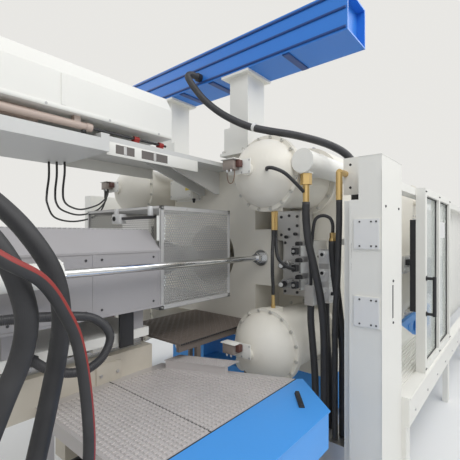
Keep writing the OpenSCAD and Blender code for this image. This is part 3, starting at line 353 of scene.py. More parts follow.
for letter, route in zip("abc", cable_routes):
    hose("sensor_cable_" + letter, route, 0.016, cable_sheath, "frame", ["sensor_cables"],
         sides=12, stiffness="medium", lay="hanging")
wire_x, wire_y, wire_z = -1.733, -0.78, 0.685
wire_route = [(wire_x, wire_y, wire_z), (wire_x, wire_y, wire_z - 0.04),
              (wire_x, wire_y + 0.012, wire_z - 0.085), (wire_x, wire_y + 0.035, wire_z - 0.1),
              (wire_x, wire_y + 0.058, wire_z - 0.085), (wire_x, wire_y + 0.07, wire_z - 0.04),
              (wire_x, wire_y + 0.07, wire_z)]
hose("near_sensor_wire", wire_route, 0.006, brown_wire, "frame", ["sensor_cables"],
     sides=8, stiffness="limp", lay="hanging")


# Painted castings and sheets
# The machine's steel is sprayed in cream, blue, grey and beige; castings keep the sand's
# grain under the paint, and sheets have the fine orange skin of the spray
def paint(name, colour, grain=60.0, depth=0.0004, patch=0.06, roughness=0.42, metallic=0.0,
          stretch=(1, 1, 1), coat=0.0):
    """Paint or metal whose tone, gloss and grain vary over the surface."""
    made, tree, principled, place = shader(name)
    link = tree.links.new
    principled.inputs["Metallic"].default_value = metallic
    principled.inputs["Coat Weight"].default_value = coat
    turned = tree.nodes.new("ShaderNodeMapping")
    turned.inputs["Scale"].default_value = stretch
    link(place.outputs["Object"], turned.inputs["Vector"])
    cloud = tree.nodes.new("ShaderNodeTexNoise")
    cloud.inputs["Scale"].default_value = 2.6
    cloud.inputs["Detail"].default_value = 7
    cloud.inputs["Roughness"].default_value = 0.6
    link(turned.outputs["Vector"], cloud.inputs["Vector"])
    tint = tree.nodes.new("ShaderNodeMix")
    tint.data_type = "RGBA"
    tint.inputs["A"].default_value = (*[c * (1 - patch) for c in colour], 1)
    tint.inputs["B"].default_value = (*[min(1, c * (1 + patch)) for c in colour], 1)
    link(cloud.outputs["Fac"], tint.inputs["Factor"])
    link(tint.outputs["Result"], principled.inputs["Base Color"])
    gloss = tree.nodes.new("ShaderNodeMapRange")
    gloss.inputs["To Min"].default_value = roughness * 0.8
    gloss.inputs["To Max"].default_value = min(1, roughness * 1.25)
    link(cloud.outputs["Fac"], gloss.inputs["Value"])
    link(gloss.outputs["Result"], principled.inputs["Roughness"])
    sand = tree.nodes.new("ShaderNodeTexNoise")
    sand.inputs["Scale"].default_value = grain
    sand.inputs["Detail"].default_value = 3
    link(turned.outputs["Vector"], sand.inputs["Vector"])
    bump = tree.nodes.new("ShaderNodeBump")
    bump.inputs["Strength"].default_value = 0.5
    bump.inputs["Distance"].default_value = depth
    link(sand.outputs["Fac"], bump.inputs["Height"])
    link(bump.outputs["Normal"], principled.inputs["Normal"])
    return made


def finish_nodes(coat, *names):
    """Gives CAD nodes their finish."""
    for name in names:
        mesh = nodes[name].data
        mesh.materials.clear()
        mesh.materials.append(coat)


cream_cast = paint("cream_cast", (0.80, 0.765, 0.68), grain=45, depth=0.0012, roughness=0.5)
cream_sheet = paint("cream_sheet", (0.84, 0.83, 0.78), grain=180, depth=0.0002, patch=0.03)
blue_paint = paint("blue_paint", (0.03, 0.205, 0.68), grain=120, depth=0.0003, roughness=0.4)
deck_blue = paint("deck_blue", (0.075, 0.36, 0.88), grain=120, depth=0.0003, roughness=0.4)
tube_tan = paint("tube_tan", (0.56, 0.45, 0.39), grain=120, depth=0.0002, roughness=0.35)
grey_sheet = paint("grey_sheet", (0.40, 0.385, 0.39), grain=160, depth=0.0002, roughness=0.45)
beige_paint = paint("beige_paint", (0.62, 0.57, 0.48), grain=70, depth=0.0005, patch=0.12)
stand_paint = paint("stand_paint", (0.66, 0.66, 0.64), grain=120, depth=0.0003)
ground_steel = paint("ground_steel", (0.56, 0.57, 0.58), grain=90, depth=0.0002, roughness=0.28,
                     metallic=1, stretch=(1, 6, 6))
chrome_rod = paint("chrome_rod", (0.72, 0.73, 0.74), grain=60, depth=0.0001, roughness=0.14,
                   metallic=1, stretch=(0.3, 8, 8))
dark_steel = paint("dark_steel", (0.09, 0.09, 0.095), grain=80, depth=0.0003, roughness=0.4,
                   metallic=0.8)
zinc = paint("zinc", (0.60, 0.60, 0.60), grain=70, depth=0.0003, roughness=0.35, metallic=1)
brass = paint("brass", (0.70, 0.50, 0.22), grain=70, depth=0.0002, roughness=0.3, metallic=1)
bronze = paint("bronze", (0.50, 0.32, 0.14), grain=70, depth=0.0002, roughness=0.4, metallic=1)
black_plastic = paint("black_plastic", (0.02, 0.02, 0.022), grain=200, depth=0.0003, roughness=0.5)
grey_plastic = paint("grey_plastic", (0.52, 0.52, 0.50), grain=200, depth=0.0002, roughness=0.45)
red_paint = paint("red_paint", (0.36, 0.03, 0.025), grain=120, depth=0.0002, roughness=0.4)
tread_metal = paint("tread_metal", (0.60, 0.57, 0.56), grain=60, depth=0.0005, roughness=0.4,
                    metallic=0.3)
mesh_metal = paint("mesh_metal", (0.18, 0.15, 0.13), grain=80, depth=0.0006, roughness=0.5)
guard_sheet = paint("guard_sheet", (0.36, 0.355, 0.35), grain=150, depth=0.0002, roughness=0.4,
                    metallic=0.4)
clear_sheet, tree, principled, place = shader("clear_sheet")
principled.inputs["Base Color"].default_value = (0.86, 0.9, 0.9, 1)
principled.inputs["Transmission Weight"].default_value = 0.9
principled.inputs["Roughness"].default_value = 0.05
principled.inputs["IOR"].default_value = 1.1

finish_nodes(cream_cast, "fixed_platen", "clamp_cylinders", "cylinder_covers", "moving_platen",
             "lock_housings")
finish_nodes(cream_sheet, "beam_posts", "junction_box", "pilot_valves", "guard_frame",
             "guard_panels", "fixing_plates", "part_chute", "front_door_frame", "rear_door_frame",
             "carriage_frame", "unit_cylinders", "drive_block", "upper_housing",
             "traverse_barrels")
finish_nodes(blue_paint, "robot_beam")
finish_nodes(deck_blue, "clamp_bed", "side_deck")
finish_nodes(tube_tan, "upper_cylinder")
finish_nodes(grey_sheet, "carriage_covers")
finish_nodes(beige_paint, "injection_base")
finish_nodes(stand_paint, "upper_stand")
finish_nodes(ground_steel, "bed_ways", "tie_bars", "injection_ways", "lock_jaws_near",
             "lock_jaws_far", "ejector_plate", "barrel", "screw")
finish_nodes(chrome_rod, "carriage_rods", "traverse_rods")
finish_nodes(dark_steel, "cover_bolts", "upper_rod", "levelling_feet")
finish_nodes(zinc, "valve_blocks", "heater_bands", "hopper")
finish_nodes(brass, "hose_fittings")
finish_nodes(bronze, "platen_shoes")
finish_nodes(black_plastic, "valve_connectors", "front_door_handle", "rear_door_handle")
finish_nodes(grey_plastic, "sensor_boxes")
finish_nodes(tread_metal, "tread_deck")
finish_nodes(mesh_metal, "mesh_deck")
finish_nodes(guard_sheet, "nozzle_guard")
finish_nodes(clear_sheet, "front_door_panes", "rear_door_panes")

# Bolts of the clamp cylinders' covers
# Socket-head steel screws on washers, sprayed over with the covers, hold each domed cover
# down to its cylinder; sixteen sit round each flange
def start_round(name, middle, axis, radius, length, sides=32):
    """A round primitive along X, Y or Z, at its size and place."""
    bpy.ops.object.select_all(action="DESELECT")
    turn = {"X": (0, math.radians(90), 0), "Y": (math.radians(90), 0, 0), "Z": (0, 0, 0)}[axis]
    bpy.ops.mesh.primitive_cylinder_add(vertices=sides, radius=radius, depth=length,
                                        location=middle, rotation=turn)
    piece = bpy.context.object
    piece.name = piece.data.name = name
    bpy.ops.object.transform_apply(location=True, rotation=True, scale=True)
    return piece


def start_block(name, low, high):
    """A block primitive between two opposite corners, given in any order."""
    bpy.ops.object.select_all(action="DESELECT")
    bpy.ops.mesh.primitive_cube_add(size=1, location=[(a + b) / 2 for a, b in zip(low, high)])
    piece = bpy.context.object
    piece.name = piece.data.name = name
    piece.scale = [abs(b - a) for a, b in zip(low, high)]
    bpy.ops.object.transform_apply(location=True, rotation=True, scale=True)
    return piece


def stepped(piece, facing, *steps):
    """Insets and raises or sinks the end face that looks one way, step by step."""
    facing = Vector(facing)
    bpy.context.view_layer.objects.active = piece
    bpy.ops.object.mode_set(mode="EDIT")
    bpy.ops.mesh.select_mode(type="FACE")
    bpy.ops.mesh.select_all(action="DESELECT")
    skin = bmesh.from_edit_mesh(piece.data)
    ends = [face for face in skin.faces if face.normal.dot(facing) > 0.99]
    far = max(face.calc_center_median().dot(facing) for face in ends)
    for face in ends:
        face.select_set(far - face.calc_center_median().dot(facing) < 1e-5)
    bmesh.update_edit_mesh(piece.data)
    for inward, outward in steps:
        if inward:
            bpy.ops.mesh.inset(thickness=inward, depth=0)
        if outward:
            bpy.ops.mesh.extrude_region_move(
                TRANSFORM_OT_translate={"value": facing * outward})
    bpy.ops.object.mode_set(mode="OBJECT")
    return piece


def soften(piece, width, steps=2):
    """Rounds the piece's edges and shades it smooth between them."""
    bpy.ops.object.select_all(action="DESELECT")
    piece.select_set(True)
    bpy.context.view_layer.objects.active = piece
    rounding = piece.modifiers.new("rounding", "BEVEL")
    rounding.width = width
    rounding.segments = steps
    rounding.limit_method = "ANGLE"
    rounding.angle_limit = math.radians(40)
    bpy.ops.object.modifier_apply(modifier=rounding.name)
    bpy.ops.object.shade_smooth_by_angle(angle=math.radians(35))
    return piece


def coated(piece, coat):
    """Gives a piece its finish."""
    piece.data.materials.clear()
    piece.data.materials.append(coat)
    return piece


def joined(name, parts):
    """One piece from several."""
    bpy.ops.object.select_all(action="DESELECT")
    for part in parts:
        part.select_set(True)
    bpy.context.view_layer.objects.active = parts[0]
    if len(parts) > 1:
        bpy.ops.object.join()
    parts[0].name = parts[0].data.name = name
    return parts[0]


def set_out(piece, name, places):
    """Copies of a piece at other places, each with its own mesh, joined as one set."""
    copies = []
    for place in places:
        copy = piece.copy()
        copy.data = piece.data.copy()
        copy.data.transform(place)
        scene.collection.objects.link(copy)
        copies.append(copy)
    bpy.data.objects.remove(piece)
    return joined(name, copies)


def moved(*place):
    return Matrix.Translation(Vector(place))


bar_places = [(y, z) for y in (-0.86, 0.86) for z in (-0.685, 0.685)]
flange_face = -1.45
bolt_count = 16
cover_screw = paint("cover_screw", (0.58, 0.57, 0.53), grain=90, roughness=0.4, metallic=0.5)
bolt = start_round("bolt", (flange_face - 0.0015, 0, 0.285), "X", 0.0145, 0.003, 16)
bolt = stepped(bolt, (-1, 0, 0), (0.002, 0.0105), (0.0015, 0), (0.004, -0.006))
coated(soften(bolt, 0.0008, 1), cover_screw)
bolts = set_out(bolt, "cover_screws", [
    moved(0, y, z) @ Matrix.Rotation(2 * math.pi * (i + 0.5) / bolt_count, 4, "X")
    for y, z in bar_places for i in range(bolt_count)])
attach(bolts, "frame")
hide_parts("cover_bolts")

bolt = start_round("bolt", (-0.8015, 0, 0.276), "X", 0.015, 0.003, 6)
bolt = stepped(bolt, (-1, 0, 0), (0.002, 0.011), (0.002, 0.0015))
coated(soften(bolt, 0.0008, 1), cover_screw)
bolts = set_out(bolt, "cylinder_screws", [
    moved(0, y, z) @ Matrix.Rotation(2 * math.pi * i / 12, 4, "X")
    for y, z in bar_places for i in range(12)])
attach(bolts, "frame")

# Eye bolts
# Forged steel lifting eyes, screwed into the tops of both platens
eye_steel = paint("eye_steel", (0.35, 0.35, 0.36), grain=80, roughness=0.45, metallic=0.8)
for body, x, tops in (("frame", -0.38, (-0.75, 0.75)), ("moving_platen", 1.5, (-0.75, 0.75))):
    parts = []
    for y in tops:
        shank = start_round("shank", (x, y, 1.02), "Z", 0.032, 0.012, 24)
        shank = soften(stepped(shank, (0, 0, 1), (0.012, 0.016)), 0.003)
        bpy.ops.object.select_all(action="DESELECT")
        bpy.ops.mesh.primitive_torus_add(location=(x, y, 1.075), rotation=(math.radians(90), 0, 0),
                                         major_radius=0.034, minor_radius=0.011,
                                         major_segments=28, minor_segments=12)
        ring = bpy.context.object
        bpy.ops.object.transform_apply(location=True, rotation=True, scale=True)
        bpy.ops.object.shade_smooth()
        parts += [coated(shank, eye_steel), coated(ring, eye_steel)]
    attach(joined(body + "_eyes", parts), body)

# Mould faces
# Rows of threaded clamping holes with countersunk mouths, and a steel ring round each
# locating bore, on the ground faces of both platens
# Near-black paint: in the hole mouths, the switch box's round hole, the column's slot and holes and the
# valve stack's holes it is painted shade for their depth; on the deck joints and the grating's beaded
# edge it is their own black.
hole_shade_and_black_trim = paint("hole_shade_and_black_trim", (0.03, 0.03, 0.032), grain=90, roughness=0.7)
hole_y = [-0.84, -0.7, -0.42, -0.28, 0.28, 0.42, 0.7, 0.84]
hole_z = [-0.28, -0.14, 0.14, 0.28]
for body, x, facing in (("frame", 0.0, 1), ("moving_platen", 1.15, -1)):
    mouth = start_round("mouth", (x + facing * 0.0008, 0, 0), "X", 0.019, 0.0016, 16)
    mouth = stepped(mouth, (facing, 0, 0), (0.004, -0.001), (0.002, -0.0005))
    coated(mouth, ground_steel)
    # A flat near-black disc in each mouth is painted shade for the threaded hole's depth.
    dark = start_round("dark", (x + facing * 0.0006, 0, 0), "X", 0.0125, 0.0008, 16)
    coated(stepped(dark, (facing, 0, 0), (0.003, 0.0001)), hole_shade_and_black_trim)
    mouths = set_out(joined("mouth", [mouth, dark]), body + "_mould_holes",
                     [moved(0, y, z) for y in hole_y for z in hole_z])
    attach(mouths, body)
    ring = start_round("ring", (x + facing * 0.003, 0, 0), "X", 0.165, 0.006, 64)
    ring = stepped(ring, (facing, 0, 0), (0.02, 0.001))
    bpy.ops.object.mode_set(mode="EDIT")
    bpy.ops.mesh.select_all(action="DESELECT")
    skin = bmesh.from_edit_mesh(ring.data)
    for face in skin.faces:
        middle = face.calc_center_median()
        face.select_set(abs(face.normal.x) > 0.99 and math.hypot(middle.y, middle.z) < 0.01)
    bmesh.update_edit_mesh(ring.data)
    bpy.ops.mesh.inset(thickness=0.018, depth=0)
    bpy.ops.mesh.delete(type="FACE")
    bpy.ops.mesh.select_all(action="DESELECT")
    bpy.ops.object.mode_set(mode="OBJECT")
    skin = bmesh.new()
    skin.from_mesh(ring.data)
    edges = [e for e in skin.edges if e.is_boundary]
    bmesh.ops.bridge_loops(skin, edges=edges)
    skin.to_mesh(ring.data)
    skin.free()
    coated(soften(ring, 0.001, 1), ground_steel)
    ring.name = ring.data.name = body + "_locating_ring"
    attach(ring, body)

# Nozzle guard
# Bright perforated steel sheets in folded edge strips, screwed together round the nozzle, with
# a window in the back; it rides on the carriage
def perforated_sheet(name, width, height, pitch, web, thickness):
    """A sheet of staggered holes in the XY plane, from the origin to its width and height."""
    bpy.ops.object.select_all(action="DESELECT")
    bpy.ops.mesh.primitive_circle_add(vertices=6, radius=pitch / math.sqrt(3), fill_type="NGON")
    piece = bpy.context.object
    piece.name = piece.data.name = name
    bpy.ops.object.mode_set(mode="EDIT")
    bpy.ops.mesh.select_all(action="SELECT")
    bpy.ops.mesh.inset(thickness=web / 2, depth=0)
    bpy.ops.mesh.delete(type="FACE")
    bpy.ops.mesh.select_all(action="SELECT")
    bpy.ops.mesh.duplicate_move(
        TRANSFORM_OT_translate={"value": (pitch / 2, pitch * math.sqrt(3) / 2, 0)})
    bpy.ops.object.mode_set(mode="OBJECT")
    for axis, step, reach in ((0, pitch, width), (1, pitch * math.sqrt(3), height)):
        row = piece.modifiers.new("row", "ARRAY")
        row.use_relative_offset = False
        row.use_constant_offset = True
        row.constant_offset_displace = [step if i == axis else 0 for i in range(3)]
        row.count = math.ceil(reach / step) + 2
        bpy.ops.object.modifier_apply(modifier=row.name)
    bpy.ops.object.mode_set(mode="EDIT")
    for point, facing in (((pitch, 0, 0), (-1, 0, 0)), ((pitch + width, 0, 0), (1, 0, 0)),
                          ((0, pitch, 0), (0, -1, 0)), ((0, pitch + height, 0), (0, 1, 0))):
        bpy.ops.mesh.select_all(action="SELECT")
        bpy.ops.mesh.bisect(plane_co=point, plane_no=facing, clear_outer=True)
    bpy.ops.mesh.select_all(action="SELECT")
    bpy.ops.mesh.remove_doubles(threshold=0.00002)
    bpy.ops.object.mode_set(mode="OBJECT")
    wall = piece.modifiers.new("wall", "SOLIDIFY")
    wall.thickness = thickness
    wall.offset = 0
    bpy.ops.object.modifier_apply(modifier=wall.name)
    piece.data.transform(Matrix.Translation((-pitch, -pitch, 0)))
    return piece


guard_x, guard_end = -2.2, -1.45
guard_low, guard_top, guard_side = -0.325, 0.405, 0.5
bright_sheet = paint("bright_sheet", (0.50, 0.495, 0.49), grain=140, depth=0.0002, patch=0.1,
                     roughness=0.36, metallic=0.55)
edge_strip = paint("edge_strip", (0.66, 0.655, 0.65), grain=140, depth=0.0002, roughness=0.35,
                   metallic=0.5)
sheet_gauge, strip_w, hole_pitch, hole_web = 0.002, 0.03, 0.021, 0.008
length = guard_end - guard_x
upright = Matrix(((1, 0, 0, 0), (0, 0, 1, 0), (0, 1, 0, 0), (0, 0, 0, 1)))
for side, name in ((-1, "near"), (1, "far")):
    sheet = perforated_sheet("guard_sheet_" + name, length - 2 * strip_w + 0.004,
                             guard_top - guard_low - 2 * strip_w + 0.004, hole_pitch, hole_web,
                             sheet_gauge)
    sheet.data.transform(moved(guard_x + strip_w - 0.002, side * (guard_side - 0.002),
                               guard_low + strip_w - 0.002) @ upright)
    sheet.data.flip_normals()
    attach(coated(sheet, bright_sheet), "carriage")
    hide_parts("nozzle_guard")
sheet = perforated_sheet("guard_sheet_top", length - 2 * strip_w + 0.004,
                         2 * (guard_side - strip_w) + 0.004, hole_pitch, hole_web, sheet_gauge)
sheet.data.transform(moved(guard_x + strip_w - 0.002, strip_w - 0.002 - guard_side,
                           guard_top - 0.002))
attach(coated(sheet, bright_sheet), "carriage")
strips = []
inner = guard_side - 0.004
for side in (-1, 1):
    face = sorted((side * guard_side, side * inner))
    for low, high in (((guard_x, guard_low), (guard_end, guard_low + strip_w)),
                      ((guard_x, guard_top - strip_w), (guard_end, guard_top)),
                      ((guard_x, guard_low), (guard_x + strip_w, guard_top)),
                      ((guard_end - strip_w, guard_low), (guard_end, guard_top))):
        strips.append(start_block("strip", (low[0], face[0], low[1]), (high[0], face[1], high[1])))
    top = sorted((side * guard_side, side * (guard_side - strip_w)))
    strips.append(start_block("strip", (guard_x, top[0], guard_top - 0.004),
                              (guard_end, top[1], guard_top)))
    back = sorted((side * guard_side, side * (guard_side - 0.015)))
    strips.append(start_block("strip", (guard_x, back[0], guard_low),
                              (guard_x + 0.004, back[1], guard_top)))
for x in (guard_x, guard_end - strip_w):
    strips.append(start_block("strip", (x, -guard_side, guard_top - 0.004),
                              (x + strip_w, guard_side, guard_top)))
strips.append(start_block("strip", (guard_x, -guard_side, guard_top - 0.02),
                          (guard_x + 0.004, guard_side, guard_top)))
strips.append(start_block("strip", (guard_x, -guard_side, guard_low),
                          (guard_x + 0.004, guard_side, -0.291)))
strips.append(start_block("strip", (guard_x, -guard_side, guard_low),
                          (guard_end, guard_side, guard_low + 0.004)))
for strip in strips:
    soften(strip, 0.0012, 1)
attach(coated(joined("guard_edge_strips", strips), edge_strip), "carriage")
screw = start_round("screw", (0, -guard_side - 0.001, 0), "Y", 0.007, 0.002, 12)
screw = stepped(screw, (0, -1, 0), (0.0012, 0.003), (0.002, 0), (0.001, -0.0015))
coated(soften(screw, 0.0005, 1), zinc)
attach(set_out(screw, "guard_screws", [
    moved(x, 0, z) for x in (guard_x + 0.015, -1.95, -1.7, guard_end - 0.015)
    for z in (guard_low + 0.015, guard_top - 0.015)]), "carriage")

# Control inside the guard's window
# A white switch box with a round hole and a black bar on two white arms, fixed on the
# carriage behind the window
def add_block(parts, name, low, high, coat, facing, *steps, rounded=0.0, cuts=2):
    """Adds a block with a stepped face and a finish to the parts of a piece."""
    piece = stepped(start_block(name, low, high), facing, *steps)
    parts.append(coated(soften(piece, rounded, cuts) if rounded else piece, coat))


def add_round(parts, name, middle, axis, radius, length, sides, coat, facing, *steps,
              rounded=0.0, cuts=2):
    """Adds a round piece with a stepped end and a finish to the parts of a piece."""
    piece = stepped(start_round(name, middle, axis, radius, length, sides), facing, *steps)
    parts.append(coated(soften(piece, rounded, cuts) if rounded else piece, coat))


switch_white = paint("switch_white", (0.78, 0.78, 0.77), grain=150, depth=0.0002, patch=0.03)
box_x = -2.235
parts = []
add_block(parts, "box", (box_x, -0.06, 0.285), (box_x + 0.05, 0.055, 0.36), switch_white, (-1, 0, 0),
          (0.006, 0.003), rounded=0.003)
# The round hole is a shallow recess painted near-black, painted shade for its depth.
add_round(parts, "eye", (box_x - 0.004, 0.02, 0.325), "X", 0.019, 0.006, 24, hole_shade_and_black_trim, (-1, 0, 0),
          (0.004, 0), (0.002, -0.004), rounded=0.001, cuts=1)
add_block(parts, "bar", (box_x + 0.01, -0.44, 0.315), (box_x + 0.035, -0.06, 0.335), black_plastic,
          (0, -1, 0), (0.004, 0.008), rounded=0.002)
for y in (-0.4, 0.03):
    add_block(parts, "arm", (box_x + 0.01, y - 0.012, 0.336), (box_x + 0.04, y + 0.012, 0.402),
              switch_white, (0, 0, 1), (0.003, 0.001), rounded=0.002)
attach(joined("window_switch", parts), "carriage")

# Barrel hood
# A ribbed grey sheet hood over the heated barrel, between grey side covers with folded seams
# and dark screws
hood_z, cover_back = 0.235, -3.2
hood_sheet = paint("hood_sheet", (0.52, 0.515, 0.515), grain=160, depth=0.0002, roughness=0.4,
                   metallic=0.3)
rib = start_block("rib", (cover_back + 0.03, -0.34, hood_z), (cover_back + 0.042, 0.34, hood_z + 0.005))
rib = soften(stepped(rib, (0, 0, 1), (0.003, 0.003)), 0.0015)
coated(rib, hood_sheet)
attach(set_out(rib, "hood_ribs", [moved(0.03 * i, 0, 0) for i in range(32)]), "carriage")
seams = []
for x in (cover_back + 0.002, -2.7, guard_x - 0.022):
    seams.append(start_block("seam", (x, -0.5025, -0.29), (x + 0.018, -0.5, 0.09)))
    seams.append(start_block("seam", (x, 0.5, -0.29), (x + 0.018, 0.5025, 0.09)))
seams.append(start_block("seam", (cover_back, -0.506, -0.297), (guard_x, -0.5, -0.283)))
seams.append(start_block("seam", (cover_back, -0.504, 0.082), (guard_x, -0.498, 0.096)))
for seam in seams:
    soften(seam, 0.001, 1)
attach(coated(joined("cover_seams", seams), grey_sheet), "carriage")
screw = start_round("screw", (0, -0.5005, 0), "Y", 0.008, 0.001, 12)
screw = stepped(screw, (0, -1, 0), (0.001, 0.003), (0.002, 0), (0.001, -0.002))
coated(soften(screw, 0.0005, 1), dark_steel)
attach(set_out(screw, "cover_screws_near", [
    moved(x, 0, z) for x in (cover_back + 0.06, -2.74, -2.64, guard_x - 0.06)
    for z in (-0.25, 0.05)]), "carriage")

# Tread deck
# Pressed steel tread plates with rows of small raised pads inside a smooth border, a pale
# chequered step plate on a riser, and a dark joint between the plates
tread_z, step_z = -0.765, -0.709
pad_metal = paint("pad_metal", (0.70, 0.665, 0.655), grain=120, depth=0.0003, patch=0.12,
                  roughness=0.36, metallic=0.35)


def pad_rows(name, low, high, pitch, size, height, inside, coat):
    """Rows of raised pads, each a small pyramid with its top cut off, kept inside an outline."""
    pad = start_block("pad", (-size / 2, -size / 2, -0.001), (size / 2, size / 2, 0.0005))
    pad = stepped(pad, (0, 0, 1), (0.0015, height))
    coated(pad, coat)
    places = []
    y = low[1]
    while y <= high[1]:
        x = low[0]
        while x <= high[0]:
            if inside(x, y):
                places.append(moved(x, y, low[2]))
            x += pitch
        y += pitch
    whole = bmesh.new()
    for place in places:
        start = len(whole.verts)
        whole.from_mesh(pad.data)
        whole.verts.ensure_lookup_table()
        bmesh.ops.transform(whole, matrix=place, verts=whole.verts[start:])
    whole.to_mesh(pad.data)
    whole.free()
    pad.name = pad.data.name = name
    return pad


def right_of_deck(x, y):
    """Whether a pad lies on the tread deck's slanted plate, clear of its border and step."""
    slant = -2.06 + (-0.34 - y) / 0.925 * 0.39 - 0.05
    on_step = x > -2.14 + (-0.42 - y) / 0.43 * 0.185 and y > -0.88
    return x < slant and not on_step and abs(x + 2.5) > 0.01


pads = pad_rows("tread_pads", (-2.92, -1.235, tread_z), (-1.7, -0.4), 0.029, 0.021, 0.004,
                right_of_deck, pad_metal)
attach(pads, "frame")


def on_step_plate(x, y):
    """Whether a pad lies on the slanted step plate."""
    left = -2.11 + (-0.43 - y) / 0.43 * 0.185
    return left + 0.012 < x < left + 0.138 and -0.85 < y < -0.44


pads = pad_rows("step_pads", (-2.1, -0.85, step_z), (-1.78, -0.44), 0.018, 0.011, 0.002,
                on_step_plate, pad_metal)
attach(pads, "frame")
joint = start_block("tread_joint", (-2.504, -1.262, tread_z), (-2.497, -0.343, tread_z + 0.0015))
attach(coated(soften(joint, 0.0005, 1), hole_shade_and_black_trim), "frame")
deck_edge = start_block("deck_joint", (-2.949, -1.2665, tread_z), (-1.672, -1.2605, tread_z + 0.002))
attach(coated(soften(deck_edge, 0.0005, 1), hole_shade_and_black_trim), "frame")

# Mesh deck
# Brown tread grating under the nozzle guard, with short raised bars in rows and a beaded edge
bar_brown = paint("bar_brown", (0.24, 0.20, 0.175), grain=90, depth=0.0005, patch=0.2,
                  roughness=0.4, metallic=0.4)
mesh_z = -0.585
lozenge = start_block("lozenge", (-0.015, -0.0035, -0.001), (0.015, 0.0035, 0.0005))
lozenge = stepped(lozenge, (0, 0, 1), (0.0015, 0.003))
coated(lozenge, bar_brown)
turned = [Matrix.Rotation(math.radians(a), 4, "Z") for a in (45, -45)]
whole = bmesh.new()
for i in range(27):
    for k in range(23):
        start = len(whole.verts)
        whole.from_mesh(lozenge.data)
        whole.verts.ensure_lookup_table()
        bmesh.ops.transform(whole, verts=whole.verts[start:], matrix=moved(
            -2.04 + 0.033 * i, -0.52 + 0.033 * k, mesh_z) @ turned[(i + k) % 2])
whole.to_mesh(lozenge.data)
whole.free()
lozenge.name = lozenge.data.name = "grating_bars"
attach(lozenge, "frame")
bead = start_round("bead", (-2.045, -0.548, mesh_z - 0.006), "X", 0.006, 0.014, 8)
bead = coated(soften(stepped(bead, (1, 0, 0), (0.002, 0.002)), 0.001, 1), hole_shade_and_black_trim)
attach(set_out(bead, "grating_beads", [moved(0.022 * i, 0, 0) for i in range(41)]), "frame")

# Side deck grip
# A black rubber hand grip with rounded ends, screwed on the blue corner deck
grip = start_block("deck_grip", (-0.09, -0.016, 0), (0.09, 0.016, 0.006))
grip = stepped(grip, (0, 0, 1), (0.004, 0.012))
grip = soften(grip, 0.0075, 4)
grip.data.transform(moved(-1.93, -1.43, tread_z) @ Matrix.Rotation(math.radians(38), 4, "Z"))
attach(coated(grip, black_plastic), "frame")

# Position sensors on the covers
# A folded cream plate with a small roof, a grey-brown sensor box under it with two pale plugs,
# and a dark brown connector, all screwed to the seat in the middle of each dome
sensor_brown = paint("sensor_brown", (0.30, 0.255, 0.225), grain=160, depth=0.0002, roughness=0.45)
plug_brown = paint("plug_brown", (0.12, 0.05, 0.04), grain=160, depth=0.0002, roughness=0.4)
seat_x = -1.69
parts = []
add_block(parts, "plate", (seat_x - 0.006, -0.04, -0.03), (seat_x, 0.17, 0.078), cream_sheet,
          (-1, 0, 0), (0.004, 0.0005), rounded=0.0015)
add_block(parts, "roof", (seat_x - 0.088, 0.045, 0.074), (seat_x - 0.005, 0.18, 0.08), cream_sheet,
          (0, 0, 1), (0.004, 0.001), rounded=0.0015)
add_block(parts, "body", (seat_x - 0.078, 0.064, 0.0), (seat_x - 0.006, 0.166, 0.072), sensor_brown,
          (-1, 0, 0), (0.006, 0.003), rounded=0.003)
add_block(parts, "clip", (seat_x - 0.05, 0.03, 0.018), (seat_x - 0.008, 0.063, 0.07), plug_brown,
          (0, -1, 0), (0.004, 0.004), rounded=0.002)
for y in (0.09, 0.13):
    add_round(parts, "plug", (seat_x - 0.068, y, -0.006), "Z", 0.008, 0.016, 16, switch_white,
              (0, 0, -1), (0.002, 0.006), rounded=0.001, cuts=1)
for y, z in ((-0.03, -0.02), (-0.03, 0.065), (0.04, -0.02)):
    add_round(parts, "screw", (seat_x - 0.0075, y, z), "X", 0.007, 0.003, 12, zinc, (-1, 0, 0),
              (0.002, 0), (0.001, -0.0015))
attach(set_out(joined("sensor", parts), "cover_sensors",
                [moved(0, y, z) for y, z in bar_places]), "frame")
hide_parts("sensor_boxes")

# Junction box
# A cream steel box with a screwed lid on its plate, a plain yellow tag, two white conduit
# bends into its top and a black gland below
tag_yellow = paint("tag_yellow", (0.78, 0.62, 0.10), grain=160, depth=0.0002, patch=0.05)
lid_x = -1.268
parts = []
add_block(parts, "lid", (lid_x - 0.004, 0.175, 0.595), (lid_x, 0.485, 0.765), cream_sheet, (-1, 0, 0),
          (0.008, 0.002), rounded=0.002)
add_block(parts, "tag", (lid_x - 0.0075, 0.192, 0.66), (lid_x - 0.0055, 0.25, 0.742), tag_yellow,
          (-1, 0, 0), (0.003, 0.0004), rounded=0.001, cuts=1)
for y, z in ((0.19, 0.61), (0.47, 0.61), (0.19, 0.75), (0.47, 0.75)):
    add_round(parts, "screw", (lid_x - 0.007, y, z), "X", 0.008, 0.003, 12, zinc, (-1, 0, 0),
              (0.002, 0), (0.001, -0.0015))
for y in (0.15, 0.51):
    for z in (0.575, 0.785):
        add_round(parts, "screw", (-1.1625, y, z), "X", 0.008, 0.005, 6, cover_screw, (-1, 0, 0),
                  (0.002, 0.001))
add_round(parts, "gland", (-1.2, 0.2, 0.57), "Z", 0.018, 0.02, 6, black_plastic, (0, 0, -1),
          (0.004, 0.018), (0.003, 0.006), rounded=0.001, cuts=1)
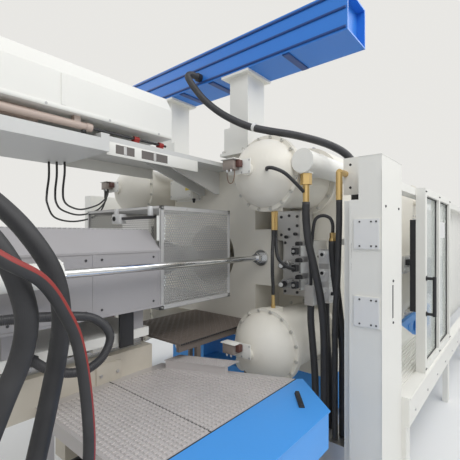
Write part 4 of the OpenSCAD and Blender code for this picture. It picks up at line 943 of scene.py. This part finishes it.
for y in (0.3, 0.36):
    bpy.ops.object.select_all(action="DESELECT")
    bpy.ops.mesh.primitive_circle_add(vertices=14, radius=0.009, fill_type="NGON",
                                      location=(-1.21, y, 0.778))
    bend = bpy.context.object
    bpy.ops.object.transform_apply(location=True, rotation=True, scale=True)
    bpy.ops.object.mode_set(mode="EDIT")
    bpy.ops.mesh.select_all(action="SELECT")
    bpy.ops.mesh.extrude_region_move(TRANSFORM_OT_translate={"value": (0, 0, 0.05)})
    bpy.ops.mesh.spin(steps=10, angle=math.radians(90), center=(-1.16, y, 0.828), axis=(0, 1, 0))
    bpy.ops.mesh.select_all(action="SELECT")
    bpy.ops.mesh.remove_doubles(threshold=0.0001)
    bpy.ops.mesh.normals_make_consistent(inside=False)
    bpy.ops.object.mode_set(mode="OBJECT")
    bpy.ops.object.shade_smooth_by_angle(angle=math.radians(35))
    parts.append(coated(bend, switch_white))
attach(joined("junction_details", parts), "frame")

# Upper unit
# A welded cream housing with a folded lower edge, joint strips and screws; its front bridge
# has slotted side webs, and two red clamps hold the black rod
housing_low = 0.935
parts = []
for side in (-1, 1):
    face = sorted((side * 0.35, side * 0.355))
    edge = start_block("edge", (-5.19, face[0], housing_low), (-1.975, face[1], 0.962))
    parts.append(soften(stepped(edge, (0, side, 0), (0.004, 0.002)), 0.0015))
    for x in (-4.4, -3.6, -2.8):
        strip = start_block("strip", (x - 0.014, face[0], 0.962),
                            (x + 0.014, face[1] - side * 0.002, 1.15))
        parts.append(soften(stepped(strip, (0, side, 0), (0.003, 0.001)), 0.001, 1))
end_plate = start_block("end", (-1.97, -0.29, 0.96), (-1.966, 0.29, 1.14))
parts.append(soften(stepped(end_plate, (1, 0, 0), (0.02, 0.002)), 0.0015))
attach(coated(joined("housing_edges", parts), cream_sheet), "upper_unit")
screw = start_round("screw", (0, -0.3555, 0), "Y", 0.009, 0.003, 12)
screw = stepped(screw, (0, -1, 0), (0.002, 0.002), (0.002, 0), (0.001, -0.002))
coated(soften(screw, 0.0005, 1), zinc)
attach(set_out(screw, "housing_screws", [moved(x, 0, 0.948) for x in (
    -4.9, -4.5, -4.1, -3.7, -3.3, -2.9, -2.5, -2.1)]), "upper_unit")
parts = []
for x in (-2.26, -2.04):
    block = start_block("clamp", (x - 0.0215, -0.31, 0.8602), (x + 0.0215, -0.2725, 0.8855))
    parts.append(soften(stepped(block, (0, -1, 0), (0.005, 0.003)), 0.002))
    ring = start_round("ring", (x, -0.3, 0.885), "X", 0.0185, 0.043, 24)
    for facing in (-1, 1):
        ring = stepped(ring, (facing, 0, 0), (0.004, -0.002))
    parts.append(soften(ring, 0.001, 1))
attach(coated(joined("rod_clamps", parts), red_paint), "frame")
port = start_round("tube_port", (-2.65, -0.3, 0.852), "Z", 0.016, 0.02, 6)
port = soften(stepped(port, (0, 0, -1), (0.003, 0.012)), 0.001, 1)
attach(coated(port, black_plastic), "upper_unit")
slot_shade = paint("slot_shade", (0.15, 0.135, 0.125), grain=90, patch=0.4, roughness=0.6)
parts = []
for side in (-1, 1):
    face = sorted((side * 0.31, side * 0.302))
    add_block(parts, "web", (-2.495, face[0], 0.735), (-1.65, face[1], 0.825), cream_sheet,
              (0, side, 0), (0.006, 0.001), rounded=0.0015)
    for low, high in ((-2.43, -2.28), (-2.22, -1.98)):
        face = sorted((side * 0.3105, side * 0.3118))
        add_block(parts, "slot", (low, face[0], 0.752), (high, face[1], 0.812), slot_shade,
                  (0, side, 0), (0.004, -0.0003), rounded=0.0005, cuts=1)
        add_block(parts, "rib", ((low + high) / 2 - 0.012, face[0], 0.752),
                  ((low + high) / 2 + 0.012, side * 0.3128 if side > 0 else face[1], 0.812), zinc,
                  (0, side, 0), (0.003, 0.001), rounded=0.0005, cuts=1)
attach(joined("bridge_webs", parts), "frame")

# Valves beside the near cylinders
# Solenoid valves with moulded plugs, plugged ports and cap screws on drilled manifold blocks,
# and a stack of sandwich valves with adjusting spindles
parts = []
for z in (-0.26, -0.12, 0.02):
    add_block(parts, "plug", (-1.15, -1.0, z + 0.09), (-1.09, -0.96, z + 0.118), black_plastic,
              (0, 0, 1), (0.006, 0.006), rounded=0.002)
    for y in (-1.012, -0.948):
        for dz in (0.01, 0.08):
            add_round(parts, "screw", (-1.161, y, z + dz), "X", 0.005, 0.003, 10, dark_steel,
                      (-1, 0, 0), (0.001, 0.002))
    add_round(parts, "nut", (-1.214, -0.98, z + 0.045), "X", 0.014, 0.008, 6, zinc, (-1, 0, 0),
              (0.003, 0.004), (0.003, 0.004))
for z in (-0.22, -0.06):
    for x, r in ((-1.052, 0.044), (-1.098, 0.042), (-1.144, 0.044)):
        add_round(parts, "ring", (x, -0.86, z), "X", r, 0.012, 32, zinc, (-1, 0, 0), (0.004, 0.002),
                  rounded=0.001, cuts=1)
    add_round(parts, "cap", (-1.213, -0.86, z), "X", 0.02, 0.008, 24, switch_white, (-1, 0, 0),
              (0.005, 0.004), rounded=0.001, cuts=1)
for y, z in ((-0.92, 0.36), (-0.92, 0.28), (-0.84, 0.37), (-0.76, 0.36), (-0.76, 0.2), (-0.84, 0.25),
             (-1.04, -0.3), (-0.8, -0.3), (-1.04, 0.13), (-0.8, 0.13), (-0.92, -0.3), (-0.91, 0.1)):
    add_round(parts, "port", (-1.0425, y, z), "X", 0.013, 0.005, 24, dark_steel, (-1, 0, 0),
              (0.003, 0.003), (0.004, 0), (0.001, -0.003))
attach(joined("valve_details", parts), "frame")
parts = []
for z in (-0.3, -0.16, -0.02):
    add_block(parts, "slab", (-1.243, -1.303, z), (-1.157, -1.217, z + 0.1), switch_white, (-1, 0, 0),
              (0.008, 0.003), rounded=0.003)
    for side in (-1, 1):
        add_round(parts, "spindle", (-1.2, -1.26 + side * 0.049, z + 0.05), "Y", 0.014, 0.012, 20,
                  black_plastic, (0, side, 0), (0.005, 0.014), (0.002, 0), (0.001, -0.002),
                  rounded=0.001, cuts=1)
for z in (-0.23, -0.09, 0.05):
    add_round(parts, "ring", (-1.262, -1.26, z), "X", 0.024, 0.03, 28, switch_white,
              (-1, 0, 0), (0.007, 0), (0.003, -0.02), rounded=0.001, cuts=1)
    # A near-black disc in each ring is painted shade for the hole inside it.
    add_round(parts, "hole", (-1.276, -1.26, z), "X", 0.013, 0.004, 20, hole_shade_and_black_trim, (-1, 0, 0),
              (0.004, -0.002))
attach(joined("stack_details", parts), "frame")

# Near column and its plates
# A welded square column with two screwed plates, a closing slot in its side painted near-black as its
# shade, and a cable bracket; black switches and brown terminals sit behind its folded panel
parts = []
for middle in (0.205, -0.275):
    add_block(parts, "plate", (-1.5705, -1.768, middle - 0.093), (-1.568, -1.612, middle + 0.093),
              switch_white, (-1, 0, 0), (0.004, 0.001), rounded=0.001, cuts=1)
    for y in (-1.75, -1.72, -1.65):
        for dz in (-0.075, 0.075):
            add_round(parts, "screw", (-1.573, y, middle + dz), "X", 0.0055, 0.003, 12, dark_steel,
                      (-1, 0, 0), (0.0015, 0.001), (0.001, 0), (0.001, -0.001))
# The slot is a shallow recess painted near-black, painted shade for its depth.
add_block(parts, "slot", (-1.342, -1.782, -0.34), (-1.326, -1.78, -0.126), hole_shade_and_black_trim, (0, -1, 0),
          (0.003, -0.0005), rounded=0.0005, cuts=1)
add_block(parts, "seam", (-1.565, -1.7815, -1.5), (-1.5, -1.78, 0.6), cream_sheet, (0, -1, 0),
          (0.004, 0.0005), rounded=0.0005, cuts=1)
for x, z in ((-1.49, 0.375), (-1.2, 0.375), (-1.33, -0.1), (-1.33, -0.37)):
    add_round(parts, "screw", (x, -1.7825, z), "Y", 0.008, 0.005, 12, dark_steel, (0, -1, 0),
              (0.002, 0.001), (0.002, -0.001))
add_block(parts, "cap", (-1.562, -1.782, 0.685), (-1.118, -1.638, 0.689), cream_sheet, (0, 0, 1),
          (0.006, 0.002), rounded=0.0015)
for z, half in ((0.1, 0.055), (0.0, 0.03)):
    add_block(parts, "switch", (-1.556, -1.6, z - half), (-1.53, -1.5865, z + half), black_plastic,
              (-1, 0, 0), (0.004, 0.004), rounded=0.002)
for low, high in ((-0.19, -0.12), (-0.36, -0.26)):
    add_block(parts, "pocket", (-1.558, -1.6, low), (-1.53, -1.5865, high), sensor_brown, (-1, 0, 0),
              (0.006, -0.004), rounded=0.001, cuts=1)
# These holes are flat near-black discs, painted shade for their depth.
for y, z in ((-1.59, 0.69), (-1.5, 0.69), (-1.59, 0.53), (-1.5, 0.53)):
    add_round(parts, "hole", (-1.3305, y, z), "X", 0.009, 0.001, 16, hole_shade_and_black_trim, (-1, 0, 0),
              (0.003, -0.0005))
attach(joined("column_details", parts), "frame")

# Doors
# Screwed corner joints, black rubber edge seals and roller hangers on welded frames, with a
# plain pale notice sheet on the front pane
door_half, seal_w = 1.82, 0.008
for body, side in (("front_door", -1), ("rear_door", 1)):
    parts = []
    outer = side * door_half
    for x in (-0.53, 0.065, 0.66):
        for z in (-0.895, 0.555):
            for dx in (-0.015, 0.015):
                add_round(parts, "screw", (x + dx, outer + side * 0.002, z), "Y", 0.006, 0.004, 12,
                          dark_steel, (0, side, 0), (0.0015, 0.001), (0.001, 0), (0.001, -0.001))
    for x0, x1 in ((-0.5, 0.035), (0.095, 0.63)):
        for low, high in (((x0, -0.865), (x1, -0.857)), ((x0, 0.517), (x1, 0.525)),
                          ((x0, -0.857), (x0 + seal_w, 0.517)), ((x1 - seal_w, -0.857), (x1, 0.517))):
            face = sorted((side * 1.797, side * 1.791))
            add_block(parts, "seal", (low[0], face[0], low[1]), (high[0], face[1], high[1]),
                      black_plastic, (0, side, 0), (0.002, 0.001), rounded=0.001, cuts=1)
    for x in (-0.45, 0.58):
        face = sorted((side * 1.7495, side * 1.735))
        add_block(parts, "hanger", (x - 0.05, face[0], 0.5), (x + 0.05, face[1], 0.52), zinc,
                  (0, -side, 0), (0.004, 0.002), rounded=0.002)
    for z in (-0.445, -0.155):
        add_round(parts, "foot", (-0.53, outer + side * 0.003, z), "Y", 0.02, 0.006, 24, black_plastic,
                  (0, side, 0), (0.003, 0.003), rounded=0.001, cuts=1)
    if side < 0:
        add_block(parts, "sheet", (0.14, -1.7975, 0.17), (0.5, -1.7965, 0.33), switch_white,
                  (0, -1, 0), (0.004, 0.0003), rounded=0.0004, cuts=1)
    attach(joined(body + "_details", parts), body)

# Door rails and fixed panels
# Pressed rails with hex screws and a folded lip under the doors, and joint strips between the
# fixed panels of the clamp end, with a black handle at its back
rail_half, panel_half, back_x, fold = 1.83, 1.66, 3.88, 0.004
parts = []
for side in (-1, 1):
    face = side * rail_half
    for i in range(12):
        add_round(parts, "screw", (-0.95 + 0.42 * i, face + side * 0.002, -1.06), "Y", 0.011, 0.004, 6,
                  zinc, (0, side, 0), (0.002, 0.003))
    add_block(parts, "lip", (-1.1, face, -0.945),
              (back_x, face + side * fold, -0.93), cream_sheet, (0, side, 0), (0.003, 0.002),
              rounded=0.001, cuts=1)
    panel = side * panel_half
    for x in (1.4, 2.0, 2.6, 3.2):
        add_block(parts, "seam", (x - 0.02, panel, -0.92),
                  (x + 0.02, panel + side * fold, 0.58), cream_sheet, (0, side, 0),
                  (0.004, 0.001), rounded=0.001, cuts=1)
for y in (-1.1, -0.4, 0.4, 1.1):
    add_block(parts, "seam", (back_x, y - 0.02, -0.92), (back_x + fold, y + 0.02, 0.68), cream_sheet,
              (1, 0, 0), (0.004, 0.001), rounded=0.001, cuts=1)
    for z in (-0.85, -0.1, 0.6):
        add_round(parts, "screw", (3.887, y, z), "X", 0.009, 0.004, 12, zinc, (1, 0, 0),
                  (0.002, 0.001), (0.001, -0.001))
add_block(parts, "handle", (3.89, -0.06, -0.12), (3.898, 0.06, -0.08), black_plastic, (1, 0, 0),
          (0.004, 0.001), rounded=0.002)
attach(joined("rail_details", parts), "frame")

# Robot beam and its posts
# Dark blue guide rails along the sides of the blue beam, joint strips across its underside,
# and domed nuts on the posts' end plates
rail_blue = paint("rail_blue", (0.012, 0.06, 0.24), grain=120, depth=0.0003, roughness=0.4)
beam_x, beam_half, guide_depth = -1.205, 0.175, 0.008
parts = []
for side in (-1, 1):
    face = beam_x + side * beam_half
    for z in (1.635, 1.77, 1.885):
        add_block(parts, "rail", (face, -1.49, z),
                  (face + side * guide_depth, 1.49, z + 0.018), rail_blue, (side, 0, 0),
                  (0.004, 0.003), rounded=0.001, cuts=1)
for y in (-1.0, -0.2, 0.2, 1.0):
    add_block(parts, "joint", (-1.372, y - 0.03, 1.6125), (-1.038, y + 0.03, 1.6195), rail_blue,
              (0, 0, -1), (0.005, 0.002), rounded=0.001, cuts=1)
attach(joined("beam_rails", parts), "frame")
nut = start_round("nut", (0, 0, 0.002), "Z", 0.02, 0.004, 20)
nut = stepped(nut, (0, 0, 1), (0.005, 0.014), (0.003, 0), (0, 0.006))
coated(soften(nut, 0.0008, 1), cover_screw)
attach(set_out(nut, "post_nuts", [moved(x, side * y, 0.925) for side in (-1, 1)
                                   for x, y in ((-1.375, 0.365), (-1.375, 0.585), (-0.98, 0.365),
                                                (-0.98, 0.585), (-1.04, 0.365), (-1.31, 0.365))]),
        "frame")

# Base of the injection side
# Beige cover plates and gussets on the welded base, clamp screws sunk in the rails, and a
# black cable duct that hangs from the barrel covers
base_half, plate_gauge = 0.34, 0.008
parts = []
for side in (-1, 1):
    face = side * base_half
    for x in (-5.7, -4.9, -4.1, -3.3, -2.5):
        add_block(parts, "plate", (x - 0.09, face, -0.78),
                  (x + 0.09, face + side * plate_gauge, -0.64), beige_paint, (0, side, 0),
                  (0.008, 0.002), rounded=0.002)
        for dx in (-0.06, 0.06):
            add_round(parts, "screw", (x + dx, face + side * 0.013, -0.71), "Y", 0.012, 0.006, 6, zinc,
                      (0, side, 0), (0.002, 0.003))
    for i in range(22):
        add_round(parts, "screw", (-5.85 + 0.165 * i, side * 0.25, -0.5595), "Z", 0.008, 0.001, 12,
                  dark_steel, (0, 0, 1), (0.002, -0.0005))
    for x in (-5.95, -4.15, -2.55):
        add_block(parts, "gusset", (x + 0.02, face, -0.9),
                  (x + 0.28, face - side * 0.03, -0.82), beige_paint, (0, 0, -1),
                  (0.01, 0.002), rounded=0.004)
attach(joined("base_details", parts), "frame")
duct = start_block("cable_duct", (-2.5, -0.475, -0.52), (-2.4, -0.455, -0.29))
duct = stepped(duct, (0, -1, 0), (0.006, 0.003), (0.004, -0.002))
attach(coated(soften(duct, 0.002), black_plastic), "carriage")

# Carriage, drive and hopper
# End caps, screws and black wipers on the pull cylinders, hex screws on the carriage, a steel
# hopper's rim and slide gate, and a finned electric motor with its terminal box
parts = []
for y in (-0.62, 0.62):
    add_round(parts, "cap", (-4.152, y, -0.005), "X", 0.06, 0.004, 32, cream_sheet,
              (-1, 0, 0), (0.006, 0.004), rounded=0.002)
    for k in range(6):
        turn = math.radians(60 * k)
        add_round(parts, "screw",
                  (-2.946, y + 0.068 * math.cos(turn), -0.005 + 0.068 * math.sin(turn)), "X", 0.007,
                  0.008, 6, zinc, (1, 0, 0), (0.002, 0.002))
    add_round(parts, "wiper", (-2.9475, y, -0.005), "X", 0.034, 0.005, 32, black_plastic,
              (1, 0, 0), (0.003, 0.004), (0.003, 0), rounded=0.001, cuts=1)
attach(joined("pull_cylinder_details", parts), "carriage")
parts = []
for side in (-1, 1):
    for x in (-3.62, -3.38):
        for z in (-0.38, -0.2, 0.12, 0.28):
            add_round(parts, "screw", (x, side * 0.382, z), "Y", 0.013, 0.004, 6, zinc, (0, side, 0),
                      (0.002, 0.006))
add_block(parts, "gate", (-3.62, -0.13, 0.333), (-3.38, 0.13, 0.347), zinc, (0, -1, 0), (0.003, 0.05),
          rounded=0.002)
add_round(parts, "rim", (-3.5, 0, 0.7), "Z", 0.196, 0.02, 48, zinc,
          (0, 0, 1), (0.012, 0), (0.004, 0.003), (0.14, 0.012), rounded=0.002)
add_round(parts, "knob", (-3.5, 0, 0.722), "Z", 0.02, 0.014, 24, black_plastic, (0, 0, 1),
          (0.006, 0.012), (-0.01, 0.006), rounded=0.002)
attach(joined("housing_details", parts), "carriage")
parts = []
for k in range(28):
    turn = 2 * math.pi * k / 28
    fin = start_block("fin", (-5.2, -0.004, 0.168), (-4.94, 0.004, 0.186))
    fin = soften(stepped(fin, (0, 0, 1), (0.0012, 0.002)), 0.0008, 1)
    fin.data.transform(Matrix.Rotation(turn, 4, "X"))
    parts.append(coated(fin, grey_plastic))
add_round(parts, "cowl", (-5.262, 0, 0), "X", 0.16, 0.024, 40, grey_plastic,
          (-1, 0, 0), (0.01, 0.004), (0.03, -0.004), (0.03, 0.002), (0.03, -0.004), rounded=0.002)
add_block(parts, "terminal", (-5.15, -0.08, 0.16), (-5.0, 0.08, 0.25), grey_plastic, (0, 0, 1),
          (0.006, 0.008), rounded=0.004)
for side in (-1, 1):
    add_block(parts, "cover", (-4.86, side * 0.38, -0.38),
              (-4.54, side * 0.386, 0.24), cream_sheet, (0, side, 0), (0.02, 0.003),
              rounded=0.003)
    for x in (-4.84, -4.56):
        for z in (-0.36, 0.22):
            add_round(parts, "screw", (x, side * 0.388, z), "Y", 0.008, 0.004, 12, zinc, (0, side, 0),
                      (0.002, 0.001), (0.001, -0.001))
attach(joined("drive_details", parts), "drive")

# Bed and locking units
# Screwed cover plates on the blue bed, stepped zinc caps and brass pipe unions on the locking
# cylinders, and valve blocks with coils on the moving platen's sides
bed_half = 1.05
parts = []
for side in (-1, 1):
    face = side * bed_half
    for i in range(5):
        x = 0.46 + 0.62 * i
        add_block(parts, "plate", (x - 0.1, face, -1.4),
                  (x + 0.1, face + side * plate_gauge, -1.2), deck_blue, (0, side, 0),
                  (0.01, 0.002), rounded=0.002)
        for dx in (-0.08, 0.08):
            for z in (-1.38, -1.22):
                add_round(parts, "screw", (x + dx, face + side * 0.01, z), "Y", 0.008, 0.004, 6, zinc,
                          (0, side, 0), (0.002, 0.002))
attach(joined("bed_details", parts), "frame")
parts = []
for y, z in bar_places:
    for side in (-1, 1):
        end = side * 0.48
        add_round(parts, "cap", (1.9503, y + end + side * 0.004, z), "Y", 0.052, 0.008, 32, zinc,
                  (0, side, 0), (0.008, 0.006), (0.02, 0.01), rounded=0.002)
        for x in (1.89, 2.03):
            for dz in (-0.2, 0.2):
                add_round(parts, "screw", (x, y + side * 0.332, z + dz), "Y", 0.012, 0.004, 6, zinc,
                          (0, side, 0), (0.002, 0.006))
    add_round(parts, "union", (1.93, y, z + 0.245), "Z", 0.016, 0.01, 6, brass, (0, 0, 1),
              (0.003, 0.02), (0.003, 0.008), rounded=0.001, cuts=1)
for side in (-1, 1):
    for x in (1.28, 1.56):
        add_block(parts, "block", (x - 0.11, side * 1.19, -0.3),
                  (x + 0.11, side * 1.25, -0.08), zinc, (0, side, 0), (0.012, 0.004),
                  rounded=0.004)
        for dz in (0.0, 0.09):
            add_block(parts, "coil", (x - 0.09, side * 1.254, -0.28 + dz),
                      (x + 0.06, side * 1.3, -0.21 + dz),
                      black_plastic if dz else grey_plastic, (0, side, 0), (0.01, 0.004),
                      rounded=0.004)
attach(joined("lock_details", parts), "moving_platen")

# Clamp bands and the conduits' ends
# Pale folded clamp bands hold the ribbed conduit on the near cover's saddle, and a pale collar
# with a black nut closes the carriage conduit's end
parts = []
for place, along in (((-1.44, -0.75, 1.075), (0.1, -1, -0.4)), ((-1.2155, -1.487, 0.3), (0, 0, 1))):
    band = start_round("band", (0, 0, 0), "Z", 0.034, 0.024, 32)
    for facing in (-1, 1):
        band = stepped(band, (0, 0, facing), (0.003, 0.001))
    turn = Vector(along).to_track_quat("Z", "Y").to_matrix().to_4x4()
    band = soften(band, 0.001, 1)
    band.data.transform(moved(*place) @ turn)
    parts.append(coated(band, switch_white))
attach(joined("conduit_bands", parts), "frame")
parts = []
add_round(parts, "collar", (-3.4, -0.395, -0.2), "Y", 0.034, 0.02, 32, switch_white, (0, -1, 0),
          (0.003, 0.004), rounded=0.001, cuts=1)
add_round(parts, "nut", (-3.0, -0.43, -0.4705), "Y", 0.034, 0.014, 6, black_plastic, (0, -1, 0),
          (0.003, 0.004), rounded=0.001, cuts=1)
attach(joined("conduit_collars", parts), "carriage")
